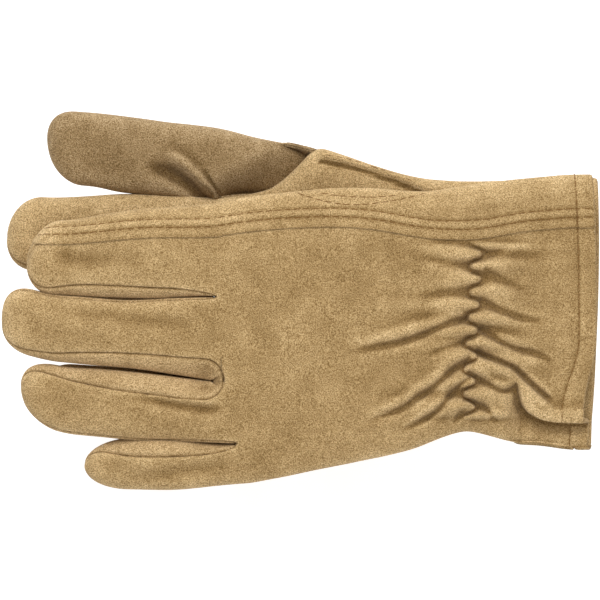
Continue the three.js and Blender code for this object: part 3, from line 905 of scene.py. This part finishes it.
def leather(name, outer, inner, normals, turn, ends=(True, True)):
    """A closed sheet between two grids. ends says which of its first and last rows are rounded off."""
    rows, cols = outer.shape[:2]
    first_way, last_way = unit(outer[:, 0] - outer[:, 1]), unit(outer[:, -1] - outer[:, -2])
    last_rim = rim_points(outer[:, -1], inner[:, -1], last_way, RIM).transpose(1, 0, 2)
    first_rim = rim_points(outer[:, 0], inner[:, 0], first_way, RIM)[::-1].transpose(1, 0, 2)
    ring = np.concatenate([outer, last_rim, inner[:, ::-1], first_rim], axis=1)
    around = ring.shape[1]
    index = np.arange(rows * around).reshape(rows, around)
    a, b = index[:-1], index[1:]
    faces = np.stack([a, b, np.roll(b, -1, axis=1), np.roll(a, -1, axis=1)], -1).reshape(-1, 4)
    points, polygons = [ring.reshape(-1, 3)], [faces[:, ::turn].tolist()]
    for row, beside, flip in ((0, 1, 1), (rows - 1, rows - 2, -1)):
        top, bottom = index[row, :cols], index[row, cols + RIM:2 * cols + RIM][::-1]
        between = np.zeros((0, cols), int)
        if ends[0 if row == 0 else 1]:
            extra = rim_points(outer[row], inner[row], unit(outer[row] - outer[beside]), RIM)
            between = sum(map(len, points)) + np.arange(RIM * cols).reshape(RIM, cols)
            points.append(extra.reshape(-1, 3))
        levels = np.vstack([top, between, bottom])
        c, d = levels[:-1], levels[1:]
        cap = np.stack([c[:, :-1], c[:, 1:], d[:, 1:], d[:, :-1]], -1).reshape(-1, 4)
        polygons.append(cap[:, ::turn * flip].tolist())
        last_corner = [*levels[::-1, -1], *index[row, cols:cols + RIM]]
        first_corner = [*levels[:, 0], *index[row, 2 * cols + RIM:]]
        polygons += [[corner[::turn * flip]] for corner in (last_corner, first_corner)]
    points = np.vstack(points)
    shading = np.zeros_like(points)
    shading[index[:, :cols]] = normals
    mesh = bpy.data.meshes.new(name)
    faces = [[int(i) for i in face] for group in polygons for face in group]
    mesh.from_pydata((points / MM).tolist(), [], faces)
    mesh.shade_smooth()
    mesh.normals_split_custom_set_from_vertices(shading.tolist())
    obj = bpy.data.objects.new(name, mesh)
    bpy.context.scene.collection.objects.link(obj)
    return obj


def wear(points, normals):
    """How far each point stands above the leather round it: above 0 on ridges (painted lighter, as worn suede),
    below 0 in creases (painted shade).
    """
    around = points.copy()
    for _ in range(12):
        padded = np.pad(around, ((1, 1), (1, 1), (0, 0)), mode="edge")
        around = (padded[:-2, 1:-1] + padded[2:, 1:-1] + padded[1:-1, :-2] + padded[1:-1, 2:]) / 4
    return ((points - around) * normals).sum(-1)


def ring_values(values):
    """Values for a sheet's points, when there is one for each point of its outer grid."""
    last_rim, first_rim = np.repeat(values[:, -1:], RIM, 1), np.repeat(values[:, :1], RIM, 1)
    return np.concatenate([values, last_rim, values[:, ::-1], first_rim], axis=1).ravel()


def paint(obj, outer, normals, seam):
    """Stores, for its material to read, how far each point of a sheet stands above the leather round it (worn
    ridges lighter, painted shade in creases) and seam, its mask of painted shade along seams.
    """
    for name, values in (("wear", wear(outer, normals)), ("seam", seam)):
        values = ring_values(values)
        attribute = obj.data.attributes.new(name, "FLOAT", "POINT")
        full = np.zeros(len(obj.data.vertices), np.float32)
        full[:len(values)] = values
        attribute.data.foreach_set("value", full)


def edge_seam_shade(points, first, last):
    """The mask of painted shade along a seam at a grid's first or last column."""
    run = walked(points)
    return np.maximum(first * bell(run, SEAM_SHADE_HALF_WIDTH), last * bell(run[:, -1:] - run, SEAM_SHADE_HALF_WIDTH))


# ---------------------------------------------------------------- stitches
def capsule():
    """A stitch 1 long and 1 thick, along X: rings of points and its faces."""
    around, along = 8, 7
    turn = np.linspace(0, 2 * np.pi, around, endpoint=False)
    reach = np.sin(np.linspace(-1, 1, along) * np.pi / 2 * 0.96)
    radius = np.sqrt(1 - np.abs(reach) ** 3)
    rings = np.stack([np.repeat(reach[:, None], around, 1), radius[:, None] * np.cos(turn),
                      radius[:, None] * np.sin(turn)], -1) / 2
    index = np.arange(along * around).reshape(along, around)
    a, b = index[:-1], index[1:]
    faces = np.stack([a, np.roll(a, -1, 1), np.roll(b, -1, 1), b], -1).reshape(-1, 4).tolist()
    return rings.reshape(-1, 3), faces + [index[0, ::-1].tolist(), index[-1].tolist()]


STITCH_POINTS, STITCH_FACES = capsule()


def stitches(name, lines, pitch=4.1, length=3.9, thick=0.45, lift=0.0, seed=1):
    """Stitches along lines on the leather. Each line is (points, outward normals)."""
    rng = np.random.default_rng(seed)
    points, faces, count = [], [], 0
    for line, normals in lines:
        run = walked(line)
        for spot in np.arange(pitch / 2, run[-1] - pitch / 2, pitch):
            ends = [np.array([np.interp(spot + d, run, line[:, k]) for k in range(3)])
                    for d in (-length / 2, 0, length / 2)]
            out = unit(np.array([np.interp(spot, run, normals[:, k]) for k in range(3)]))
            ahead = unit(ends[2] - ends[0] + rng.normal(0, 0.12, 3))
            aside = unit(np.cross(out, ahead))
            out = np.cross(ahead, aside)
            scale = np.array([length, thick, thick * 0.8]) * rng.uniform(0.9, 1.08, 3)
            local = STITCH_POINTS * scale
            local[:, 2] -= 1.3 * thick * (STITCH_POINTS[:, 0] * 1.6) ** 4
            centre = ends[1] + out * lift
            points.append(centre + local @ np.array([ahead, aside, out]))
            faces += [[i + count for i in face] for face in STITCH_FACES]
            count += len(STITCH_POINTS)
    mesh = bpy.data.meshes.new(name)
    mesh.from_pydata((np.vstack(points) / MM).tolist(), [], faces)
    mesh.shade_smooth()
    obj = bpy.data.objects.new(name, mesh)
    bpy.context.scene.collection.objects.link(obj)
    return obj


def row_on(points, normals, offset):
    """A line on a grid that keeps a distance from its first column."""
    run = walked(points)
    spots, ways = [], []
    for r, row in enumerate(run):
        if row[-1] > 2.5 * offset:
            spots.append([np.interp(offset, row, points[r, :, k]) for k in range(3)])
            ways.append([np.interp(offset, row, normals[r, :, k]) for k in range(3)])
    return np.array(spots), np.array(ways)


def dropped(points, normals, plan, faces_up=True):
    """A line in plan laid on the leather that faces up (or down) there."""
    keep = normals[..., 2] > 0.15 if faces_up else normals[..., 2] < -0.15
    near, ways = points[keep], normals[keep]
    fine = Path(plan).points
    run = walked(fine)
    even = np.arange(0, run[-1], 0.8)
    fine = np.stack([np.interp(even, run, fine[:, k]) for k in range(2)], -1)
    spots, out = [], []
    for x, y in fine:
        square = (near[:, 0] - x) ** 2 + (near[:, 1] - y) ** 2
        pick = np.argpartition(square, 4)[:4]
        weight = 1 / (square[pick] + 0.05)
        weight /= weight.sum()
        spots.append([x, y, (near[pick, 2] * weight).sum()])
        out.append((ways[pick] * weight[:, None]).sum(0))
    return np.array(spots), unit(np.array(out))


# ---------------------------------------------------------------- putting a glove together
THUMB_SEAMS = {
    "left": ([(-78.7, 46.0), (-66, 42.3), (-53.8, 40.9), (-38, 42.6), (-22.4, 46.0)],
             [(-68.8, 46.0), (-58, 44.6), (-47.3, 44.2), (-40, 44.6), (-32.3, 45.6)]),
    "right": ([(-66, 63.2), (-58, 61.9), (-45, 58), (-34, 54.2), (-25, 50.4)],),
}
WEBS = (1.0, 5.0, 1.0)      # how far the leather at each crotch slopes towards the fingertips


def place(obj, node, slot, finger=None, start=None):
    """Puts a piece in place of its CAD node: on the hand's body, or, for a piece that reaches a finger, with its
    transform baked in and no body.
    """
    side = node.split("_")[0]
    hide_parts(node)
    obj.data.materials.append(FINISH[slot])
    if finger is None:
        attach(obj, f"{side}_hand")
    else:
        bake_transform(obj)
    return obj


def hand_angles(hand, face, v, spacing):
    """Angles of the hand's columns, row by row, and where each finger's lane lies among them."""
    crotches = [float(angle_at(share)) for share in hand.bow_share[1:-1]]
    if face == "back":
        stops = [hand.lap_angle(v, LAP_UNDER), *crotches, SIDE_SEAM]
        lengths = [24, 29, 28, 28]
    else:
        stops = [hand.lap_angle(v), *(-c for c in crotches), SIDE_SEAM - 360]
        lengths = [62, 29, 28, 24]
    stops = [np.broadcast_to(np.asarray(stop, float), v.shape) for stop in stops]
    parts, spans, at = [], [], 0
    for first, last, length in zip(stops, stops[1:], lengths):
        angles = HAND_RING.between(first[:, None], last[:, None], columns(length, spacing)[None, :])
        parts.append(angles if not parts else angles[:, 1:])
        spans.append((at, at + angles.shape[1]))
        at += angles.shape[1] - 1
    return np.concatenate(parts, axis=1), spans


def bare_sheet(hand, stalls, face, v, spacing):
    """The back or the palm with nothing pressed into it but its hem and lap."""
    angles, spans = hand_angles(hand, face, v, spacing)
    wrap = face == "palm"
    points = hand.dressed(angles, v[:, None], wrap)
    edge = hand.bare(angles[-1], 1.0)
    lanes = []
    for stall, (a, b) in zip(stalls, spans):
        w = stall.rows(spacing)
        if stall.name == "index":
            first = stall.lap_angle(w, 0.0 if wrap else LAP_UNDER)
        else:
            first = stall.seam_angle(face, 0, w) - (360 if wrap else 0)
        if stall.name == "little":
            last = np.full(len(w), SIDE_SEAM - (360 if wrap else 0))
        else:
            last = stall.seam_angle(face, 1, w) - (360 if wrap else 0)
        lanes.append(stall.lane(face, edge[a:b], first, last, w, wrap if stall.name == "index" else None))
    return Sheet(points, lanes, spans)


def cover(node, slot, outer, inner, shading, turn, ends, seam, finger=None, start=None):
    """Makes a piece of leather between two grids and puts it in place of its CAD node. seam is its mask of painted
    shade along the seams.
    """
    obj = leather(f"suede_{node}", outer, inner, shading, turn, ends)
    paint(obj, outer, shading, seam)
    place(obj, node, slot, finger, start)


def side_walls(stalls, bare, pressed, spacing):
    """The side walls, which follow the two panels they are sewn between: (grid, normals, rows' distances)."""
    walls = {}
    for number, stall in enumerate(stalls):
        w = stall.rows(spacing)
        for which in (0, 1):
            crotch = number - 1 + which
            if not 0 <= crotch <= 2:
                continue
            turn = stall.up * (2 * which - 1)
            ends = [bare[face].lanes[number][0, -which] for face in ("back", "palm")]
            ahead = unit(stalls[crotch].ahead + stalls[crotch + 1].ahead)
            grid = stall.wall(which, *ends, WEBS[crotch], ahead, w)
            grid = press(grid, grid_normals(grid, turn), no_relief, stall.side == "right")
            share = np.linspace(0, 1, grid.shape[1])[None, :, None]
            edges = [pressed[face].lanes[number][:, -which] for face in ("back", "palm")]
            grid = grid + (edges[0] - grid[:, 0])[:, None] * (1 - share) ** 2
            grid = grid + (edges[1] - grid[:, -1])[:, None] * share**2
            walls[number, which] = (grid, grid_normals(grid, turn), w)
    return walls


def wall_seams(face, pressed, normals, walls):
    """Where each wall is sewn to a panel: (points, ways out). At the crotch the hand gives the way out."""
    wall_column = 0 if face == "back" else -1
    seams = {}
    for (number, which), (_, wall_normals, w) in walls.items():
        ways = normals[face].lanes[number][:, -which]
        both = unit(ways + wall_normals[:, wall_column])
        way = unit(mix(ways[0], both, ease(w / 6)[:, None]))
        seams[number, which] = (pressed[face].lanes[number][:, -which], way)
    return seams


def roll_seams(face, pressed, normals, seams):
    """A panel with its seams rolled in, and the mask of painted shade along the seams of each of its grids."""
    other = "palm" if face == "back" else "back"
    edge = unit(normals[face].hand[:, -1] + normals[other].hand[:, -1])
    finger_edge = unit(normals[face].lanes[3][:, -1] + normals[other].lanes[3][:, -1])
    parts = [groove(grid, seams) for grid in (pressed[face].hand, *pressed[face].lanes)]
    grids, painted_seam_shades = [part[0] for part in parts], [part[1] for part in parts]
    for number, way in ((0, edge), (4, finger_edge)):
        grids[number] = tuck(grids[number], None, way)
        painted_seam_shades[number] = np.maximum(painted_seam_shades[number], edge_seam_shade(grids[number], 0, 0.8))
    return Sheet(grids[0], grids[1:], pressed[face].spans), painted_seam_shades


def bend_starts(stalls, outer, walls):
    """For each finger, a place a little past every first row of its leather, and the way it points."""
    starts = []
    for number, stall in enumerate(stalls):
        first_rows = [sheet.lanes[number][0] for sheet in outer.values()]
        first_rows += [grid[0] for (n, _), (grid, _, _) in walls.items() if n == number]
        reach = max(((row - stall.origin) @ stall.ahead).max() for row in first_rows)
        starts.append((stall.origin + stall.ahead * (reach + 0.5), stall.ahead))
    return starts


def build_glove(side, spacing, relief):
    """A glove but for its thumb."""
    hand = Hand(side)
    stalls = [Stall(hand, finger) for finger in FINGERS]
    v = np.concatenate([[0, 0.004], np.linspace(0.01, 1, round(hand.length / spacing))])
    turns = {"back": hand.up, "palm": -hand.up}
    bare = {face: bare_sheet(hand, stalls, face, v, spacing) for face in turns}
    pressed, normals = {}, {}
    for face, turn in turns.items():
        ways = sheet_normals(bare[face], turn)
        pressed[face] = bare[face].each(lambda p, n: press(p, n, relief, side == "right"), ways)
        normals[face] = sheet_normals(pressed[face], turn)
    walls = side_walls(stalls, bare, pressed, spacing)
    seams = {face: wall_seams(face, pressed, normals, walls) for face in turns}
    outer, painted_seam_shades = {}, {}
    for face in turns:
        outer[face], painted_seam_shades[face] = roll_seams(face, pressed, normals, seams[face].values())
    starts = bend_starts(stalls, outer, walls)
    shading = {face: sheet_normals(outer[face], turn) for face, turn in turns.items()}

    thick = LEATHER + 1.1 * ease((HEM + 0.5 - hand.length * v) / 1.5)
    for face, turn in turns.items():
        inner = pressed[face].hand - normals[face].hand * thick[:, None, None]
        cover(f"{side}_{face}_panel", "suede", outer[face].hand, inner, shading[face].hand, turn,
              (True, False), painted_seam_shades[face][0])
        for number, stall in enumerate(stalls):
            inner = pressed[face].lanes[number] - normals[face].lanes[number] * LEATHER
            cover(f"{side}_{stall.name}_{face}", "suede", outer[face].lanes[number], inner,
                  shading[face].lanes[number], turn, (False, True), painted_seam_shades[face][number + 1], stall.name,
                  starts[number])
    for (number, which), (grid, wall_normals, _) in walls.items():
        name, turn = stalls[number].name, hand.up * (2 * which - 1)
        wall_outer = tuck(grid, *(seams[face][number, which][1] for face in ("back", "palm")))
        cover(f"{side}_{name}_{'outer' if which else 'thumbside'}_fourchette", "fourchette_suede", wall_outer,
              grid - wall_normals * LEATHER, grid_normals(wall_outer, turn), turn, (False, True),
              edge_seam_shade(grid, 1, 1), name, starts[number])

    sew(side, hand, outer, shading, v, starts[0])
    inside = pressed["back"].hand - normals["back"].hand * (LEATHER + 0.35)
    wrist_band(side, hand, inside, shading["back"].hand)


def sew(side, hand, outer, shading, v, index_start):
    """The visible stitching of a glove."""
    palm, out = outer["palm"], shading["palm"]
    names = ("edge", "inner")
    for name, offset in zip(names, LAP_ROWS):
        obj = stitches(f"stitches_{side}_lap_{name}", [row_on(palm.hand, out.hand, offset)], seed=3)
        place(obj, f"{side}_lap_thread_{name}", "thread")
        line = [part[:-5] for part in row_on(palm.lanes[0], out.lanes[0], offset)]
        obj = stitches(f"stitches_{side}_index_lap_{name}", [line], seed=5)
        place(obj, f"{side}_index_lap_thread_{name}", "thread", "index", index_start)
    row = int(np.argmin(np.abs(hand.length * v - HEM)))
    hidden = int(LAP_UNDER) + 2     # columns of the back that lie under the wrapped strip
    lines = [(outer["back"].hand[row, hidden:-2], shading["back"].hand[row, hidden:-2]),
             (palm.hand[row, 1:-2], out.hand[row, 1:-2])]
    place(stitches(f"stitches_{side}_hem", lines, seed=7), f"{side}_hem_thread", "thread")
    lines = [dropped(palm.hand, out.hand, path) for path in THUMB_SEAMS[side]]
    place(stitches(f"stitches_{side}_thumb", lines, seed=9), f"{side}_thumb_thread", "thread")
    y = np.linspace(21.5, -49, 40)
    plan = np.stack([gather_line(y), y], -1)
    zigzag = dropped(outer["back"].hand, shading["back"].hand, plan, side == "left")
    obj = stitches(f"stitches_{side}_elastic", [zigzag], pitch=1.7, length=1.5, thick=0.36, seed=11)
    place(obj, f"{side}_elastic_thread", "thread")


def wrist_band(side, hand, inside, out):
    """The elastic sewn inside the back of the wrist."""
    y = np.linspace(22, -49.5, 72)
    rows = []
    for shift in np.linspace(-4, 4, 9):
        plan = np.stack([np.full(len(y), ELASTIC_X + shift), y], -1)
        line, _ = dropped(inside, out, plan, side == "left")
        rows.append(line[:: max(1, len(line) // 80)][:80])
    grid = np.array(rows)[::-1]
    turn = hand.up
    normals = grid_normals(grid, turn)
    obj = leather(f"band_{side}_wrist", grid, grid - normals * 1.0, normals, turn)
    place(obj, f"{side}_wrist_elastic", "elastic")


def build_thumb(side, sunk, squeeze, spacing, relief):
    """A thumb stall's two halves."""
    thumb = Thumb(side, sunk, squeeze)
    faces = {"up": (0.0, 180.0), "down": (180.0, 360.0)}
    grids, normals = {}, {}
    for face, angles in faces.items():
        bare = thumb.half(*angles, spacing)
        shape = relief if face == "up" else no_relief
        grids[face] = press(bare, grid_normals(bare, 1), shape, side == "right")
        normals[face] = grid_normals(grids[face], 1)
    near = unit(normals["up"][:, 0] + normals["down"][:, -1])
    far = unit(normals["up"][:, -1] + normals["down"][:, 0])
    middle = (grids["up"][:, 0] + grids["down"][:, -1]) / 2, (grids["up"][:, -1] + grids["down"][:, 0]) / 2
    start = thumb.origin + thumb.ahead * 2.0
    names = {"up": "back" if side == "left" else "front", "down": "front" if side == "left" else "back"}
    for face, (first, last) in {"up": (near, far), "down": (far, near)}.items():
        grids[face][:, 0], grids[face][:, -1] = middle[::1 if face == "up" else -1]
        outer = tuck(grids[face], first, last)
        shade = grid_normals(outer, 1)
        inner = grids[face] - normals[face] * LEATHER
        cover(f"{side}_thumb_{names[face]}", "thumb_suede", outer, inner, shade, 1, (True, True),
              edge_seam_shade(outer, 0.8, 0.8), "thumb", (start, thumb.ahead))


# ---------------------------------------------------------------- finishes
def srgb(*values):
    """A colour given as 0 to 255 screen values."""
    linear = [(v / 255 / 12.92 if v <= 10 else ((v / 255 + 0.055) / 1.055) ** 2.4) for v in values]
    return (*linear, 1.0)


WARMTH = (0.86, 1.0, 1.3)   # how strongly red, green and blue follow a darkening


class Nodes:
    """A small help for wiring node materials."""

    def __init__(self, name):
        self.material = bpy.data.materials.new(name)
        self.material.use_nodes = True
        self.tree = self.material.node_tree
        self.tree.nodes.clear()
        self.coordinates = self.add("ShaderNodeTexCoord").outputs["Object"]

    def add(self, kind, settings=None, **inputs):
        node = self.tree.nodes.new(kind)
        for key, value in (settings or {}).items():
            setattr(node, key, value)
        for key, value in inputs.items():
            socket = node.inputs[int(key[1:])] if key[0] == "i" and key[1:].isdigit() else node.inputs[key]
            if isinstance(value, bpy.types.NodeSocket):
                self.tree.links.new(value, socket)
            else:
                socket.default_value = value
        return node

    def noise(self, size, detail=2.0, roughness=0.5, distortion=0.0):
        """Noise with features of a size in millimetres, from 0 to 1."""
        node = self.add("ShaderNodeTexNoise", Vector=self.coordinates, Scale=MM / size, Detail=detail,
                        Roughness=roughness, Distortion=distortion)
        return node.outputs["Fac"] if "Fac" in node.outputs else node.outputs[0]

    def math(self, operation, a, b=0.0, c=0.0):
        return self.add("ShaderNodeMath", {"operation": operation}, i0=a, i1=b, i2=c).outputs[0]

    def product(self, first, *others):
        for other in others:
            first = self.math("MULTIPLY", first, other)
        return first

    def spread(self, value, low, high, to_low, to_high):
        """Maps a value from one range to another, and keeps it there."""
        node = self.add("ShaderNodeMapRange", i0=value, i1=low, i2=high, i3=to_low, i4=to_high)
        return node.outputs[0]

    def tint(self, colour, factor):
        """A colour made darker or lighter by a factor. The darker it is, the warmer."""
        parts = [self.product(self.math("POWER", factor, warm), part) for part, warm in zip(colour, WARMTH)]
        return self.add("ShaderNodeCombineXYZ", i0=parts[0], i1=parts[1], i2=parts[2]).outputs[0]

    def finish(self, colour, roughness, bump=None, **extra):
        inputs = {"Base Color": colour, "Roughness": roughness, **extra}
        if bump is not None:
            height, strength, depth = bump
            node = self.add("ShaderNodeBump", Height=height, Strength=strength, Distance=depth / MM)
            inputs["Normal"] = node.outputs[0]
        shader = self.add("ShaderNodeBsdfPrincipled", **inputs)
        self.add("ShaderNodeOutputMaterial", Surface=shader.outputs[0])
        return self.material


def suede(name, colour, speckle=1.2, mottle=0.3):
    """Napped split leather: a fine grain of fibres, patches where the nap lies differently, ridges lighter as
    worn, painted shade in creases and along seams.
    """
    n = Nodes(name)
    fine = n.noise(0.5, 2.0, 0.75)
    grain = n.noise(2.2, 2.0, 0.6, 0.4)
    patch = n.noise(10.0, 3.0, 0.55, 0.5)
    broad = n.noise(38.0, 2.0)
    # height above the leather round each point: worn ridges lighter, painted shade in creases
    wear_and_crease_shade = n.add("ShaderNodeAttribute", {"attribute_name": "wear"}).outputs["Fac"]
    # nearness to a seam: a painted dark line of shade along each seam's groove
    seam = n.add("ShaderNodeAttribute", {"attribute_name": "seam"}).outputs["Fac"]
    uneven = n.spread(n.noise(3.0, 2.0), 0.35, 0.65, 0.5, 1.0)
    factor = n.product(
        n.spread(fine, 0.36, 0.64, 1 - speckle / 2, 1 + speckle / 2),
        n.spread(grain, 0.3, 0.7, 0.91, 1.09),
        n.spread(patch, 0.3, 0.7, 1 - mottle / 2, 1 + mottle / 2),
        n.spread(broad, 0.3, 0.7, 0.92, 1.08),
        # worn ridges lighter; creases darkened with painted shade
        n.spread(wear_and_crease_shade, -0.32, 0.32, 0.46, 1.22),
        # painted shade along the seams, uneven along each
        n.spread(n.product(seam, uneven), 0.0, 1.0, 1.0, 0.34),
    )
    height = n.math("ADD", fine, n.product(grain, 0.7))
    sheen = {"Sheen Weight": 0.15, "Sheen Roughness": 0.5, "Sheen Tint": (1.0, 0.9, 0.75, 1.0),
             "Specular IOR Level": 0.1}
    return n.finish(n.tint(colour, factor), 0.95, (height, 1.0, 0.7), **sheen)


def thread(name, colour):
    n = Nodes(name)
    twist = n.noise(0.35, 2.0)
    factor = n.product(n.spread(twist, 0.3, 0.7, 0.7, 1.3), n.spread(n.noise(6.0), 0.3, 0.7, 0.85, 1.15))
    return n.finish(n.tint(colour, factor), 0.8, (twist, 0.4, 0.1), **{"Specular IOR Level": 0.2})


def tape(name, colour):
    n = Nodes(name)
    weave = n.add("ShaderNodeTexWave", Vector=n.coordinates, Scale=MM / 6.0, Distortion=1.5, Detail=2.0)
    value = weave.outputs[1]
    return n.finish(n.tint(colour, n.spread(value, 0.0, 1.0, 0.85, 1.08)), 0.9, (value, 0.4, 0.2))


def paper(name, colour):
    """A white sweep that glows a little, so that shadows on it stay faint."""
    n = Nodes(name)
    shade = n.tint(colour, n.spread(n.noise(30.0), 0.3, 0.7, 0.99, 1.01))
    return n.finish(shade, 0.9, None, **{"Emission Color": shade, "Emission Strength": 0.45})


FINISH = {
    "suede": suede("suede", srgb(182, 151, 103)),
    "fourchette_suede": suede("fourchette_suede", srgb(178, 147, 101)),
    "thumb_suede": suede("thumb_suede", srgb(154, 127, 88), 1.3, 0.34),
    "thread": thread("thread", srgb(118, 84, 44)),
    "elastic": tape("elastic", srgb(225, 215, 190)),
}

build_glove("left", GRID, left_back_relief)
build_glove("right", 1.6, right_palm_relief)
build_thumb("left", 4.0, 0.8, 1.6, no_relief)
build_thumb("right", 9.0, 0.8, GRID, right_thumb_relief)


# ---------------------------------------------------------------- floor, light and camera
def make_floor(below):
    mesh = bpy.data.meshes.new("floor")
    size = 3.0
    corners = [(-size, -size, 0), (size, -size, 0), (size, size, 0), (-size, size, 0)]
    mesh.from_pydata(corners, [], [(0, 1, 2, 3)])
    floor = bpy.data.objects.new("floor", mesh)
    floor.location.z = below
    mesh.materials.append(paper("floor", (0.9, 0.9, 0.9, 1.0)))
    bpy.context.scene.collection.objects.link(floor)


def make_light(name, place, size, power, aim=(-0.08, 0, 0.02)):
    data = bpy.data.lights.new(name, "AREA")
    data.shape, data.size, data.energy = "DISK", size, power
    lamp = bpy.data.objects.new(name, data)
    lamp.location = place
    direction = Vector(aim) - Vector(place)
    lamp.rotation_euler = direction.to_track_quat("-Z", "Y").to_euler()
    bpy.context.scene.collection.objects.link(lamp)


FLOOR_DEPTH = 0.08              # below the gloves, which leaves the lower one's fingers room to bend down
low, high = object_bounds()
make_floor(low.z - FLOOR_DEPTH)
make_light("key", (-0.15, 1.0, 1.1), 1.0, 16)
make_light("fill", (0.3, -0.9, 1.5), 1.6, 9)

world = bpy.data.worlds.new("studio")
world.use_nodes = True
world.node_tree.nodes["Background"].inputs["Color"].default_value = (1, 1, 1, 1)
world.node_tree.nodes["Background"].inputs["Strength"].default_value = 0.6
bpy.context.scene.world = world
bpy.context.scene.view_settings.view_transform = "Standard"

VIEW_CENTRE = (-0.0774, 0.0)    # what the camera looks straight down on
VIEW_WIDTH = 0.258              # of the picture, at the height of the upper glove
VIEW_LEVEL = 0.038
camera_data = bpy.data.cameras.new("camera")
camera_data.lens, camera_data.sensor_width = 250, 36
camera = bpy.data.objects.new("camera", camera_data)
camera.location = (*VIEW_CENTRE, VIEW_LEVEL + VIEW_WIDTH * camera_data.lens / camera_data.sensor_width)
bpy.context.scene.collection.objects.link(camera)
bpy.context.scene.camera = camera

bpy.context.view_layer.update()
